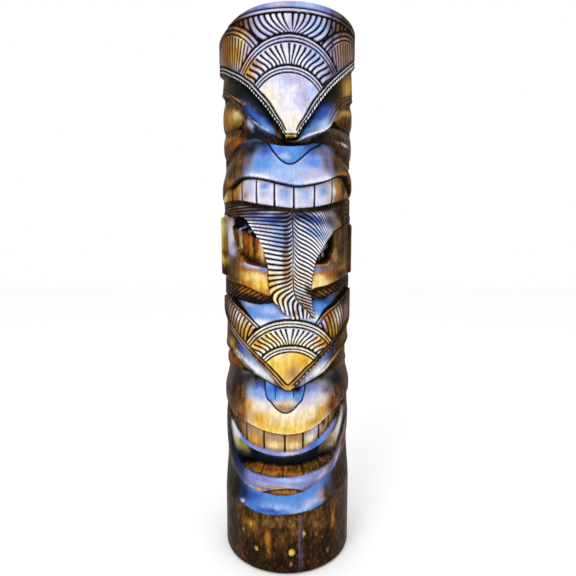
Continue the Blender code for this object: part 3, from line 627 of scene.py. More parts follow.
def muzzle_2(turn, rise):
    """The lower head's muzzle, with the nose standing on it."""
    share = between(MUZZLE_TOP_2, MUZZLE_LOW_2, turn, rise)
    cut = 3.5 + 12.5 * (1 - eased(-0.1, 0.7, share))
    nose = above_nose_2(turn, rise)
    outline = groove(nose, 4.4)
    left = groove((turn + 10) * AROUND, 3.6) * eased(326, 331, rise)
    right = groove((turn - 6) * AROUND, 5) * eased(328, 334, rise)
    nostrils = left + right
    cut = cut + 3.0 * outline - 3.5 * eased(0, 9, nose) + 1.6 * nostrils
    edge = above(MUZZLE_LOW_2, turn, rise)
    return cut + 2 * (1 - eased(0, 5, edge)), np.clip(outline + 0.7 * nostrils, 0, 1)


def mouth_2(turn, rise):
    """The open lower mouth: the ring under the teeth, the dark opening and the lower teeth."""
    ring = 9.0 + 2.5 * groove(above(TEETH_LOW_2, turn, rise), 4)
    ring_edge = above(RING_LOW_2, turn, rise)
    lower = above(LOWER_TEETH_TOP, turn, rise)
    parting = gaps(LOWER_GAPS, turn, 4)
    toward_lip = eased(12, 0, rise - curve(LIP_TOP_2)(turn))
    teeth = MOUTH_DEPTH * 0.62 - 11 * toward_lip + 3 * parting
    floor = mix(teeth, MOUTH_DEPTH * 0.85, eased(-2, 2, lower))
    corner = eased(44, 54, np.abs(turn + 2))
    floor = mix(floor, 8.0, corner)
    on_ring = eased(-1.5, 1.5, ring_edge)
    return mix(floor, ring, on_ring), mix(parting * (lower < 0), 0.0, on_ring)


def lip_2(turn, rise):
    """The lower lip, with the arched notch of the chin in its lower edge."""
    share = between(LIP_TOP_2, LIP_LOW_2, turn, rise)
    cut = 5.0 + 3.0 * (2 * share - 0.9) ** 2
    chin = above(CHIN_ARC, turn, rise)
    arch = groove(chin, 5)
    return cut + 3.5 * eased(1, -1.5, chin) + 1.5 * arch, np.clip(1.8 * arch, 0, 1)


def neck(turn, rise):
    """The painted hollow band under the lip, which runs out into the foot."""
    share = between(LIP_LOW_2, NECK_LOW, turn, rise)
    return NECK_DEPTH * (1 - eased(0.1, 1.1, share)) + 1.0, 0.0 * rise


def base(turn, rise):
    """The plain foot, with two knots in it."""
    knots = 0.0 * rise
    for at_turn, at_rise, wide, high in KNOTS:
        reach = np.hypot((turn - at_turn) * AROUND / wide, (rise - at_rise) / high)
        knots = knots + groove(reach - 1, 0.5)
    return 1.0 + 0.8 * knots, 0.8 * np.clip(knots, 0, 1)


# Zones from the crown down: the line that each begins under, how wide its step is, and what is carved there
ZONES = (
    (BROW_1, 3.2, eyes_1),
    (MUZZLE_TOP_1, 5.0, muzzle_1),
    (MUZZLE_LOW_1, 2.6, teeth_row_1),
    (TEETH_LOW_1, 2.6, mouth_1),
    (BEARD_LOW, 3.6, shield_2),
    (BROW_2, 3.2, eyes_2),
    (MUZZLE_TOP_2, 5.0, muzzle_2),
    (MUZZLE_LOW_2, 2.6, teeth_row_2),
    (TEETH_LOW_2, 2.6, mouth_2),
    (LIP_TOP_2, 3.6, lip_2),
    (LIP_LOW_2, 3.6, neck),
    (NECK_LOW, 5.0, base),
)
# Degrees of turn between which the carving fades out, the adze marks begin and the ink ends
SIDE_FADE = (66.0, 122.0)
ADZE_TURNS = (88, 112)
INK_FADE = (84, 104)
# Tool marks: width and height of each in units, and the seed of their places
ADZE_MARKS = (24, 46, 11)
CHISEL_MARKS = (7, 11, 12)
ADZE_DEPTH = 1.6
CHISEL_DEPTH = 0.35
# Drying cracks: turn, lowest and highest rise, width and depth in units
CRACKS = ((36.5, 893, 1010, 2.2, 1.6), (11.5, -10, 109, 1.8, 1.4), (-34, 58, 96, 1.6, 1.0),
          (158, 120, 760, 4.0, 9.0), (-141, 420, 1010, 3.4, 8.0), (-172, -10, 330, 3.0, 6.0),
          (127, 560, 1010, 2.4, 4.0), (-118, -10, 190, 2.2, 4.0))


def cracks(turn, rise):
    """Depth and ink of the drying cracks, which run with the grain."""
    depth = 0.0 * rise
    for place, low, high, width, deep in CRACKS:
        along = np.full_like(turn, place)
        wander = 5 * noise(along, rise, 40, 34, 5) + 1.5 * noise(along, rise, 40, 9, 6) - 3
        off = ((turn - place + 180) % 360 - 180) * AROUND - wander
        ends = eased(0, 40, rise - low) * eased(0, 40, high - rise)
        depth = np.maximum(depth, deep * groove(off, width * (0.4 + 0.6 * ends) + 0.5) * ends)
    return depth, np.clip(depth, 0, 1)


def carving(turn, rise):
    """Depth cut into the log at each place, in units, and the ink in its grooves."""
    cut, ink = np.zeros((2, len(rise)))
    begun = [np.ones(len(rise))]
    begun += [step(-above(line, turn, rise), width) for line, width, zone in ZONES]
    begun += [np.zeros(len(rise))]
    zones = [shield_1] + [zone for line, width, zone in ZONES]
    for zone, share, covered in zip(zones, begun, begun[1:]):
        seen = (share > 0) & (covered < 1)
        zone_cut, zone_ink = zone(turn[seen], rise[seen])
        cut[seen] = mix(cut[seen], zone_cut, share[seen])
        ink[seen] = mix(ink[seen], zone_ink, share[seen])
    low_tongue = eased(-1.5, 2.0, on_tongue(turn, rise)) * (rise < TONGUE_OVER_CROWN)
    tongue_cut, tongue_ink = tongue(turn, rise)
    cut = mix(cut, tongue_cut, low_tongue)
    ink = mix(ink, tongue_ink, low_tongue)
    around = np.abs(turn)
    adzed = ADZE_DEPTH * (1 - tool_marks(turn, rise, *ADZE_MARKS)) * eased(*ADZE_TURNS, around)
    chiselled = CHISEL_DEPTH * (1 - tool_marks(turn, rise, *CHISEL_MARKS))
    crack_cut, crack_ink = cracks(turn, rise)
    cut = cut * (1 - eased(*SIDE_FADE, around)) + adzed + chiselled + crack_cut
    return cut, np.clip(ink * (1 - eased(*INK_FADE, around)) + crack_ink, 0, 1)


def surface(cut, turn, rise):
    """Distance of the carved surface from the log's axis, in metres."""
    worn = RIM_ROUNDING
    for depth, middle, reach in WORN_RIM:
        worn = worn + depth * np.exp(-((turn - middle) / reach) ** 2)
    rounding = worn * (1 - np.clip((TOP - rise) * UNIT / worn, 0, 1)) ** 2
    rounding += FOOT_ROUNDING * (1 - np.clip(rise * UNIT / FOOT_ROUNDING, 0, 1)) ** 2
    log_radius = mix(BASE_RADIUS, TOP_RADIUS, rise / TOP)
    return log_radius - cut * UNIT - rounding


def grid():
    """The turns and rises at which the log is carved."""
    front = np.arange(-FRONT_REACH, FRONT_REACH, FRONT_STEP)
    back = np.arange(FRONT_REACH, 360 - FRONT_REACH, BACK_STEP)
    turns = np.concatenate([front, back])
    plain = np.arange(0, BASE_TOP, BASE_STEP)
    rises = np.concatenate([plain, np.linspace(BASE_TOP, TOP, int((TOP - BASE_TOP) / CARVED_STEP) + 1)])
    return turns, rises


def carve_log(turns, rises):
    """Depth and ink at every place of the grid."""
    turn, rise = np.meshgrid(turns, rises)
    cut, ink = carving(((turn + 180) % 360 - 180).ravel(), rise.ravel())
    return cut.reshape(turn.shape), ink.reshape(turn.shape)


def make_totem(turns, rises, cut):
    """The carved log as one closed mesh, thinned to the triangles kept."""
    turn, rise = np.meshgrid(turns, rises)
    radius = surface(cut, (turn + 180) % 360 - 180, rise)
    angle = np.radians(turn)
    points = np.stack([radius * np.sin(angle), -radius * np.cos(angle), rise * UNIT], axis=-1)
    columns, rows = len(turns), len(rises)
    column, row = np.meshgrid(np.arange(columns), np.arange(rows - 1))
    start = row * columns + column
    beside = row * columns + (column + 1) % columns
    quads = np.stack([start, beside, beside + columns, start + columns], axis=-1).reshape(-1, 4)
    middle = rows * columns
    ring = np.arange(columns)
    after = (ring + 1) % columns
    top_ring = (rows - 1) * columns
    foot = np.stack([np.full(columns, middle), after, ring], axis=-1)
    crown = np.stack([np.full(columns, middle + 1), top_ring + ring, top_ring + after], axis=-1)
    vertices = points.reshape(-1, 3).tolist() + [(0.0, 0.0, 0.0), (0.0, 0.0, HEIGHT)]
    mesh = bpy.data.meshes.new("carved_totem")
    mesh.from_pydata(vertices, [], quads.tolist() + foot.tolist() + crown.tolist())
    totem = bpy.data.objects.new("carved_totem", mesh)
    bpy.context.scene.collection.objects.link(totem)
    thin = totem.modifiers.new("thin", "DECIMATE")
    thin.ratio = TRIANGLES / (2 * len(quads) + 2 * columns)
    thin.use_collapse_triangulate = True
    bpy.context.view_layer.update()
    evaluated = totem.evaluated_get(bpy.context.evaluated_depsgraph_get())
    thinned = bpy.data.meshes.new_from_object(evaluated)
    totem.modifiers.clear()
    totem.data = thinned
    thinned.name = "carved_totem"
    thinned.shade_smooth()
    return totem


# Paint, as sRGB from 0 to 255. The blues, lilacs and whites are painted reflection of the sky and painted
# highlight on the wax, the golds, yellows and creams partly the wood's own colour and partly painted
# highlight, and the near-black blues and greens are painted shadow

INK_AND_SHADOW = (9, 8, 9)
NIGHT_SHADOW = (16, 22, 30)
MOSS_SHADOW = (20, 26, 20)
NAVY = (30, 44, 88)
ROYAL = (54, 90, 180)
SKY = (92, 144, 220)
ICE = (168, 192, 238)
MIST = (142, 168, 222)
IRIS = (124, 134, 196)
LILAC = (192, 188, 222)
FROST = (228, 226, 243)
WHITE = (240, 240, 248)
CREAM = (243, 232, 214)
STRAW = (248, 222, 150)
YELLOW = (244, 204, 92)
GOLD = (224, 166, 58)
AMBER = (182, 116, 40)
ORANGE = (172, 88, 26)
RUST = (130, 64, 20)
TAN = (188, 142, 92)
ROSE = (182, 150, 132)
PLUM = (112, 96, 122)
OLIVE = (112, 84, 44)
BROWN = (88, 58, 24)
COFFEE = (52, 32, 12)
UMBER = (30, 20, 9)


def linear(colour):
    """A colour's linear values, from its sRGB ones."""
    share = np.array(colour, dtype=float) / 255
    return np.where(share <= 0.04045, share / 12.92, ((share + 0.055) / 1.055) ** 2.4)


# Each zone's paint: its ground colour at the front and at the sides, then soft strokes laid over it, each
# with (colour, turn, rise, half width in degrees, half height in units) and, where it slants, the units that
# it climbs for each degree

SHIELD_1_PAINT = (LILAC, BROWN, (
    (FROST, 0, 905, 26, 26), (ICE, 22, 915, 9, 14), (ICE, 24, 962, 10, 14), (FROST, -8, 972, 10, 12),
    (BROWN, -40, 975, 14, 22, -0.5), (AMBER, -38, 962, 8, 9, -0.8), (GOLD, -47, 935, 13, 26, -0.5),
    (STRAW, -38, 948, 5, 12), (AMBER, -56, 945, 9, 22), (ROSE, -71, 935, 12, 26),
    (GOLD, -31, 893, 6, 12, -1.5), (TAN, -26, 905, 6, 9, -1.0), (PLUM, 36, 960, 5, 46),
    (PLUM, 38, 900, 7, 16, 1.5), (BROWN, 46, 975, 9, 20, 0.5), (ROSE, 46, 930, 8, 22),
    (TAN, 54, 948, 7, 20), (ROSE, 66, 940, 12, 26), (BROWN, 84, 955, 14, 40), (BROWN, -88, 950, 12, 46),
))
# Painted highlight: the blue, lilac and ice middle of the band along the rim's upper edge
BAND_TOP_PAINT = (IRIS, COFFEE, (
    (ICE, 14, 996, 12, 9), (LILAC, -6, 996, 8, 9), (BROWN, -48, 994, 19, 14), (PLUM, 39, 994, 5, 14),
    (BROWN, 56, 994, 13, 14),
))
WEDGE_1_PAINT = (FROST, FROST, (
    (LILAC, 4, 878, 12, 10), (LILAC, 13, 846, 7, 24), (CREAM, -12, 842, 9, 26, -1.5),
    (CREAM, 3, 806, 9, 16), (ICE, 20, 862, 5.5, 12, 0.4),
))
# Painted shadow: the near-black ground and green strokes under the brow, coffee and umber under the lids
EYES_1_PAINT = (NIGHT_SHADOW, BROWN, (
    (MOSS_SHADOW, -48, 872, 24, 22, -1.0), (NAVY, -34, 843, 9, 7, -1.5), (ROYAL, -26, 822, 11, 7, -1.5),
    (SKY, -17, 803, 8, 6, -1.5), (ICE, -24, 804, 12, 2.6, -1.35), (BROWN, -8, 796, 3, 24, -2.5),
    (IRIS, 42, 832, 6, 10, 1.3), (ROYAL, 33, 830, 8, 12, 1.3), (SKY, 20, 800, 8, 8, 1.6),
    (ICE, 33, 812, 7, 8, 1.0), (FROST, 35, 804, 9, 5, 0.9), (FROST, 22, 790, 13, 3.4, 0.9),
    (MOSS_SHADOW, 44, 870, 13, 17, 1.0), (TAN, -52, 862, 16, 2.2, -1.1), (GOLD, -60, 832, 13, 13, -0.5),
    (AMBER, -68, 828, 9, 16, -0.4), (STRAW, -50, 832, 5, 7, -0.9), (AMBER, -66, 794, 16, 5, -0.1),
    (GOLD, 70, 894, 9, 18, 1.2), (YELLOW, 68, 886, 5, 8, 1.0), (OLIVE, 53, 850, 9, 7, 1.4),
    (TAN, 50, 828, 9, 5, 1.2), (GOLD, 64, 842, 12, 5, 0.6), (OLIVE, 62, 800, 17, 6),
    (COFFEE, 52, 788, 17, 9), (CREAM, 58, 784, 10, 1.6, -0.15), (COFFEE, -14, 778, 20, 6, -0.3),
    (UMBER, 18, 776, 20, 5, 0.2), (ORANGE, -50, 783, 9, 6, 0.3), (LILAC, -36, 815, 4, 8, -1.2),
))
# Painted shadow: the near-black and navy strokes along the muzzle's top, under the brow's tip and the cheeks
MUZZLE_1_PAINT = (MIST, BROWN, (
    (ICE, 2, 722, 26, 14), (LILAC, 24, 724, 14, 10, 0.3), (FROST, 26, 714, 18, 5, 0.4),
    (FROST, -22, 720, 12, 4, -0.4), (ROYAL, -17, 764, 7, 12, 0.5), (SKY, -20, 742, 9, 12),
    (ROYAL, 20, 764, 7, 9), (SKY, 22, 744, 7, 8), (NAVY, -24, 776, 9, 7), (NAVY, 26, 772, 9, 6),
    (NIGHT_SHADOW, -43, 772, 17, 17, 0.2), (PLUM, -32, 752, 4, 16), (BROWN, -44, 744, 9, 26),
    (AMBER, -56, 716, 9, 8, -0.5), (PLUM, 34, 744, 4, 16), (BROWN, 46, 746, 9, 26),
    (OLIVE, 60, 756, 14, 6, -0.3), (AMBER, 58, 732, 12, 4, 0.3), (NIGHT_SHADOW, 2, 779, 46, 8),
    (NIGHT_SHADOW, -33, 766, 9, 9), (BROWN, -45, 742, 10, 26), (PLUM, 33, 762, 8, 7),
))
# Painted shadow: the navy stroke along the nose's top, under the brow's tip
NOSE_1_PAINT = (SKY, SKY, (
    (ROYAL, 18, 770, 5, 7), (ICE, -2, 752, 5, 5), (NAVY, 2, 777, 40, 6),
))
TEETH_1_PAINT = (FROST, AMBER, (
    (MIST, -2, 690, 6, 14), (ICE, 15, 690, 6, 14), (MIST, 34, 698, 6, 10, 0.3), (SKY, -20, 704, 5, 6),
    (LILAC, -20, 690, 6, 5), (LILAC, -36, 700, 6, 12), (ROSE, -40, 690, 4, 7),
    (GOLD, -50, 704, 6, 9, 1.0), (WHITE, 47, 700, 4, 8, -0.4), (GOLD, 55, 705, 6, 9),
    (BROWN, 66, 708, 8, 14), (STRAW, -74, 692, 8, 26),
))
GUM_PAINT = (UMBER, COFFEE, (
    (OLIVE, 6, 663, 16, 3.5),
))
# Painted shadow: the broad brown and near-black strokes along the tongue's top, under the gum
TONGUE_PAINT = (WHITE, BROWN, (
    (BROWN, 4, 668, 70, 8), (BROWN, -46, 660, 20, 12, -0.1), (PLUM, -30, 656, 9, 10, -0.2),
    (ROYAL, -12, 644, 16, 11, -0.3), (MIST, -4, 614, 12, 22, -0.2), (NAVY, -2, 650, 10, 9),
    (ROYAL, 22, 646, 14, 10, -0.4), (MIST, 24, 624, 12, 9, -0.6), (NAVY, 12, 652, 8, 8),
    (NIGHT_SHADOW, 4, 664, 40, 6), (LILAC, -18, 628, 7, 7, -0.3), (PLUM, 39, 646, 8, 12, -0.8),
    (BROWN, 62, 652, 20, 14, -0.4), (TAN, 52, 640, 7, 5, -0.8), (CREAM, -6, 548, 15, 18),
    (CREAM, 12, 545, 12, 18), (STRAW, -8, 522, 9, 17, -2.0), (YELLOW, -13, 540, 3, 16),
    (FROST, 6, 492, 12, 14), (ROSE, 15, 500, 7, 12, -1.5), (BROWN, 18, 522, 4, 12, -1.0),
    (AMBER, 6, 484, 3, 5), (PLUM, -1, 600, 2.5, 60), (TAN, 0, 560, 3, 30),
    (STRAW, -11, 508, 7, 9, -1.5),
))
MIDRIB_PAINT = (BROWN, BROWN, (
    (TAN, 5, 595, 3, 26), (CREAM, 5, 562, 3, 12),
))
MOUTH_1_PAINT = (AMBER, BROWN, (
    (FROST, -61, 622, 4.5, 30), (LILAC, -58, 594, 6, 9, -0.8), (AMBER, -78, 622, 9, 36),
    (YELLOW, -76, 616, 7, 24), (STRAW, -71, 636, 5, 12), (BROWN, -77, 590, 14, 3.4),
    (YELLOW, -74, 576, 9, 8), (LILAC, -32, 564, 11, 3.0, -0.35), (IRIS, -21, 560, 5, 4.5),
    (YELLOW, -34, 547, 9, 7, -0.3), (STRAW, -24, 545, 9, 8, -0.3), (YELLOW, -21, 532, 9, 8),
    (COFFEE, 64, 610, 15, 50), (OLIVE, 52, 574, 12, 9, 0.4), (OLIVE, 51, 606, 3.5, 20),
    (TAN, 47, 586, 2.5, 12, 0.8), (AMBER, 56, 562, 9, 6, 0.4), (PLUM, 36, 563, 12, 3.6, 0.2),
    (IRIS, 25, 559, 4.5, 5), (STRAW, 27, 545, 7, 5, 0.2), (STRAW, 27, 534, 12, 8, 0.2),
    (STRAW, -74, 662, 9, 16),
))
HOLLOW_PAINT = (ORANGE, RUST, (
    (BROWN, -56, 610, 4, 22), (BROWN, -45, 583, 5, 5, -0.6), (AMBER, -46, 612, 1.4, 9),
    (STRAW, -50.5, 604, 1.3, 20), (GOLD, -40, 600, 1.2, 17), (BROWN, -36, 598, 2.2, 12),
    (GOLD, -32, 588, 1.6, 8), (STRAW, -28, 592, 2.6, 22, -3.0), (STRAW, -33, 618, 2.2, 7, -3.0),
    (BROWN, -34, 574, 4, 3.5, -0.6),
))
# Painted highlights: thin light edges inside the hollows
HOLLOW_GLINTS = (
    (LILAC, -50, 633, 3.4, 1.3, 1.0), (LILAC, -38.5, 630, 4.0, 1.3, 0.8),
    (CREAM, 40, 589, 4.2, 2.6, 3.6), (CREAM, 42.6, 610, 1.6, 2.6, -4.0),
)
# Painted shadow: the near-black stroke low at the left and the small umber one low at the right, under the
# beard
BEARD_PAINT = (COFFEE, UMBER, (
    (AMBER, -40, 521, 16, 6, -0.4), (BROWN, -60, 524, 12, 9), (NIGHT_SHADOW, -34, 503, 24, 6),
    (OLIVE, 40, 520, 14, 6, 0.4), (UMBER, 56, 528, 16, 12), (UMBER, 32, 509, 12, 4, 0.3),
))
# Painted shadow: the umber stroke at the upper right, under the beard
CROWN_2_PAINT = (SKY, BROWN, (
    (ICE, -14, 488, 12, 8), (WHITE, -22, 466, 10, 7), (LILAC, -36, 498, 8, 5), (WHITE, 6, 474, 12, 5),
    (WHITE, 24, 474, 5, 7), (ROYAL, 38, 500, 8, 5), (UMBER, 34, 507, 10, 5, 0.3),
))
WING_2_PAINT = (AMBER, BROWN, (
    (GOLD, -38, 450, 12, 16, -1.0), (CREAM, -46, 474, 9, 12, -1.0), (ROSE, -58, 480, 9, 20, -1.0),
    (CREAM, -30, 462, 6, 6, -1.0), (BROWN, -74, 480, 12, 26), (LILAC, 30, 464, 5, 8),
    (GOLD, 44, 452, 5, 12), (CREAM, 50, 474, 7, 16), (BROWN, 60, 462, 6, 16), (ROSE, 66, 478, 7, 16),
    (BROWN, 80, 480, 10, 30),
))
FAN_2_PAINT = (CREAM, AMBER, (
    (WHITE, 3, 448, 14, 16), (FROST, 18, 444, 8, 12), (STRAW, -14, 440, 8, 9), (GOLD, -26, 428, 9, 12),
    (ROSE, -27, 438, 5, 6), (GOLD, 32, 432, 9, 12), (AMBER, 35, 424, 5, 6), (STRAW, 3, 432, 18, 3),
))
WEDGE_2_PAINT = (YELLOW, GOLD, (
    (GOLD, 13, 398, 7, 14, 1.0), (STRAW, -5, 408, 9, 8), (TAN, 4, 376, 7, 14),
))
BORDER_2_PAINT = (TAN, BROWN, (
    (ROSE, -42, 428, 16, 9, -1.5), (BROWN, -24, 398, 8, 6, -1.7), (BROWN, 30, 406, 14, 7, 1.5),
    (COFFEE, 46, 428, 12, 7, 1.3), (TAN, 12, 368, 6, 5, 1.8), (GOLD, 0, 353, 5, 6),
))
# Painted shadow: the near-black umber ground and the dark green stroke at the upper left, under the brow
EYES_2_PAINT = (UMBER, BROWN, (
    (MOSS_SHADOW, -58, 430, 14, 10, -1.0), (ROYAL, -45, 414, 8, 9, -1.4), (SKY, -36, 402, 9, 9, -1.4),
    (ICE, -28, 388, 10, 9, -1.4), (WHITE, -34, 386, 14, 4.5, -1.1), (WHITE, -18, 372, 9, 7, -1.3),
    (CREAM, -46, 396, 12, 3, -0.9), (ROYAL, 41, 406, 8, 8, 1.4), (SKY, 34, 395, 7, 8, 1.4),
    (ICE, 28, 384, 7, 9, 1.3), (LILAC, 20, 372, 9, 8, 1.3), (WHITE, 24, 370, 12, 3.6, 1.1),
    (NAVY, 47, 412, 6, 6, 1.4), (TAN, 46, 393, 9, 3, 1.3), (ORANGE, -60, 386, 12, 7, -0.2),
    (GOLD, -64, 418, 7, 8), (WHITE, -31, 381, 12, 5, -0.9), (WHITE, 30, 378, 10, 7, 0.9),
))
# Painted shadow: the near-black, navy and umber strokes along the muzzle's top, under the lids
MUZZLE_2_PAINT = (CREAM, BROWN, (
    (STRAW, -2, 296, 36, 14), (YELLOW, -2, 274, 34, 12), (GOLD, -24, 290, 9, 14, -0.5),
    (GOLD, 24, 286, 8, 7, 0.5), (CREAM, 3, 302, 12, 8), (LILAC, -2, 324, 32, 9), (MIST, -2, 334, 32, 6),
    (SKY, -2, 341, 42, 5), (ROYAL, -2, 348, 44, 6), (NAVY, -2, 356, 46, 5), (CREAM, -22, 314, 6, 9),
    (AMBER, -42, 306, 9, 26, -0.4), (GOLD, -36, 312, 4, 9), (BROWN, -52, 326, 9, 24, -0.6),
    (NIGHT_SHADOW, -52, 346, 17, 24, 0.3), (NIGHT_SHADOW, 0, 366, 50, 8), (AMBER, 42, 316, 6, 18, 0.4),
    (BROWN, 52, 330, 10, 24, 0.6), (PLUM, 38, 338, 5, 7), (NIGHT_SHADOW, 52, 354, 15, 14),
    (MIST, -28, 336, 8, 8), (ROYAL, -25, 348, 9, 5), (UMBER, -34, 361, 14, 9, 0.2),
    (UMBER, 34, 362, 9, 6), (BROWN, -47, 326, 8, 22, -0.4), (GOLD, 31, 303, 6, 14, 0.4),
    (RUST, 43, 307, 7, 14, 0.5), (RUST, -45, 288, 7, 8, -0.3),
))
# Painted shadow: the near-black stroke at the nose's upper right, under the lid
NOSE_2_PAINT = (SKY, SKY, (
    (ICE, -2, 332, 9, 5), (STRAW, -2, 320, 12, 4.5), (TAN, -2, 312, 12, 6), (ROYAL, -12, 346, 6, 5),
    (NIGHT_SHADOW, 10, 345, 4, 5),
))
TEETH_2_PAINT = (TAN, BROWN, (
    (STRAW, -11, 240, 9, 8), (ROSE, -12, 256, 9, 6), (GOLD, -32, 246, 7, 8), (ROSE, -34, 262, 10, 6),
    (STRAW, 6, 240, 7, 7), (CREAM, 22, 252, 5, 9), (LILAC, 27, 266, 8, 6, 0.6), (BROWN, 36, 276, 3, 8),
    (GOLD, 42, 286, 4, 6),
))
# Painted shadow: the open mouth's near-black ground fills its deep opening
MOUTH_2_PAINT = (NIGHT_SHADOW, NIGHT_SHADOW, (
    (MIST, -16, 218, 8, 4.5), (LILAC, -2, 217, 7, 4.5), (IRIS, -26, 219, 5, 4), (PLUM, 12, 218, 8, 4),
))
RING_2_PAINT = (IRIS, BROWN, (
    (SKY, -48, 246, 12, 8, -0.9), (LILAC, 2, 226, 9, 5), (ROYAL, 27, 240, 8, 7, 0.7),
    (SKY, 34, 248, 6, 7, 1.0), (IRIS, 44, 264, 7, 9, 1.3),
))
LOWER_TEETH_PAINT = (COFFEE, UMBER, (
    (BROWN, -18, 192, 34, 8), (RUST, -15, 193, 22, 4), (BROWN, 24, 196, 18, 6, 0.3),
    (AMBER, -8, 187, 26, 2.4),
))
LIP_2_PAINT = (IRIS, UMBER, (
    (NAVY, -48, 196, 9, 30, -1.5), (ICE, 4, 178, 16, 4), (LILAC, -8, 166, 18, 6), (PLUM, 2, 158, 40, 5),
    (PLUM, 30, 176, 9, 9, 1.0), (GOLD, -27, 155, 7, 3.5), (CREAM, -38, 156, 6, 2, -0.4),
    (LILAC, 32, 180, 9, 6, 1.4), (PLUM, 46, 208, 9, 20, 2.0), (BROWN, 62, 226, 8, 26, 2.0),
    (TAN, -9, 166, 14, 2.4), (PLUM, 22, 166, 9, 5, 0.9),
))
# The pale facets at the lower mouth's corners, and a near-black stroke of painted shadow in the opening
# beside the left one
CORNER_STROKES = (
    (CREAM, -56, 243, 8, 17, -2.0), (WHITE, -60, 258, 8, 13, -2.0), (YELLOW, -52, 224, 4, 8, -2.0),
    (INK_AND_SHADOW, -43, 219, 5, 13, -1.2), (CREAM, 54, 252, 10, 13, 2.6), (WHITE, 58, 264, 6, 10, 2.6),
    (TAN, 47, 231, 4, 7, 2.6), (COFFEE, 61, 250, 14, 3, 2.3), (ROSE, 68, 246, 14, 5, 1.9),
    (LILAC, 52, 203, 6, 6, 2.4),
)
CHIN_PAINT = (BROWN, BROWN, (
    (AMBER, -2, 154, 12, 4),
))
NECK_PAINT = (SKY, UMBER, (
    (ROYAL, -32, 138, 9, 12), (ICE, -8, 128, 12, 5), (ICE, 10, 122, 10, 5, 0.4),
    (ROYAL, -16, 120, 14, 5), (LILAC, 23, 136, 9, 6, 0.5), (ROSE, 32, 144, 5, 9),
    (NAVY, -42, 140, 6, 16), (UMBER, -56, 142, 13, 26), (FROST, -42, 126, 2, 2.2, 0.8),
    (BROWN, 38, 142, 5, 20), (COFFEE, 52, 158, 14, 34, 1.0), (COFFEE, 78, 158, 18, 40),
))
BASE_PAINT = (COFFEE, BROWN, (
    (OLIVE, -2, 104, 26, 9), (COFFEE, -2, 60, 50, 44), (BROWN, 20, 90, 20, 16),
    (BROWN, -34, 80, 12, 20), (AMBER, -34, 88, 6, 7), (AMBER, -16, 64, 2.2, 26), (BROWN, -7, 74, 4, 26),
    (AMBER, 44, 88, 2, 16), (UMBER, 2, 30, 18, 24), (UMBER, -30, 40, 9, 22), (UMBER, 16, 60, 5, 40),
    (PLUM, 11.5, 60, 1.4, 50), (UMBER, 36, 40, 8, 30), (UMBER, 0, 0, 90, 12), (UMBER, -60, 60, 9, 60),
    (UMBER, 62, 60, 9, 60), (OLIVE, -10, 98, 14, 8),
))
BACK_PAINT = BROWN

# Flecks of bright wood and wax on the foot: turn, rise, half width in degrees, half height in units, colour
FLECKS = ((4, 44, 3.2, 7.0, YELLOW), (-27, 43, 2.2, 4.6, GOLD), (-16, 43, 1.1, 3.0, TAN),
          (14, 78, 0.8, 6.0, YELLOW), (25, 75, 0.8, 3.0, GOLD), (32, 62, 0.9, 2.6, TAN),
          (18, 44, 1.0, 2.6, GOLD), (-33, 88, 1.4, 3.4, GOLD), (46, 87, 1.2, 2.4, STRAW),
          (3, 21, 1.0, 2.6, TAN), (-42, 70, 0.8, 3.0, TAN), (38, 32, 0.8, 3.4, AMBER))
# The frame at the upper shield's tip, near-black painted shadow round a yellow patch: turn, rise, half width
# in degrees and half height in units
TIP = (3, 784.2, 6.6, 4.4)
# Noise: width and height of its patches in units, and its seed
WAVER_NOISES = ((9, 7, 21), (9, 6, 23))
GRIT_NOISE = (2.6, 3.2, 37)
TINT_NOISE = (12, 6, 35)
WAX_NOISE = (14, 14, 34)
# The wood's figure: shares of noise
FIGURE_NOISES = ((0.5, 2.8, 22, 31), (0.3, 6, 12, 32), (0.2, 2.4, 2.4, 33))
# How far the strokes' edges waver, in degrees of turn and in units of rise
WAVER = (1.6, 3.4)
# Degrees of turn between which the front's ground colour gives way to the side's, which drops most of the
# painted reflection and is partly painted shade
SIDE_GROUND = (34.0, 56.0)
# Degrees of turn between which all paint gives way to the back's plain colour
BACK_GROUND = (74, 104)
# How far around each place is looked at for edges and hollows, in units
FINE_REACH = 4.0
BROAD_REACH = 14.0
# Painted shade: how dark it makes shallow hollows, deep hollows and steep walls
HOLLOW_SHADE = 0.5
DEEP_SHADE = 0.6
WALL_SHADE = 0.8
# How strongly specks of gold show on the bare dark wood
GRIT_SHARE = 0.16
# What the paint keeps of its brightness under the studio's light
PAINT_SHARE = 0.72
# Darker sides, partly patina and partly painted shade: how much, and between which degrees of turn
SIDE_SHADE = 0.42
SIDE_TURNS = (26, 60)
# How much lighter raised edges are: worn paint and painted highlight
EDGE_WEAR_AND_HIGHLIGHT = 0.3
WAX_ROUGHNESS = 0.42
# The brightness of dark and light grain on painted wood, bare wood and bare dark wood
PAINTED_FIGURE = (0.92, 1.06)
BARE_FIGURE = (0.76, 1.16)
DEEP_FIGURE = (0.42, 1.65)


def tinted(paint, colour, share):
    return mix(paint, linear(colour), share[..., None])


def stroked(paint, strokes, turn, rise):
    """The paint with soft strokes laid over it."""
    for colour, at_turn, at_rise, width, height, *lean in strokes:
        across = turn - at_turn
        up = rise - at_rise - sum(lean) * across
        weight = np.exp(-((across / width) ** 2) ** 1.4 - ((up / height) ** 2) ** 1.4)
        paint = tinted(paint, colour, weight)
    return paint


def painted(recipe, turn, rise):
    """Linear colours of one zone's ground and strokes."""
    ground, side, strokes = recipe
    paint = mix(linear(ground), linear(side), eased(*SIDE_GROUND, np.abs(turn))[..., None])
    return stroked(paint, strokes, turn, rise)


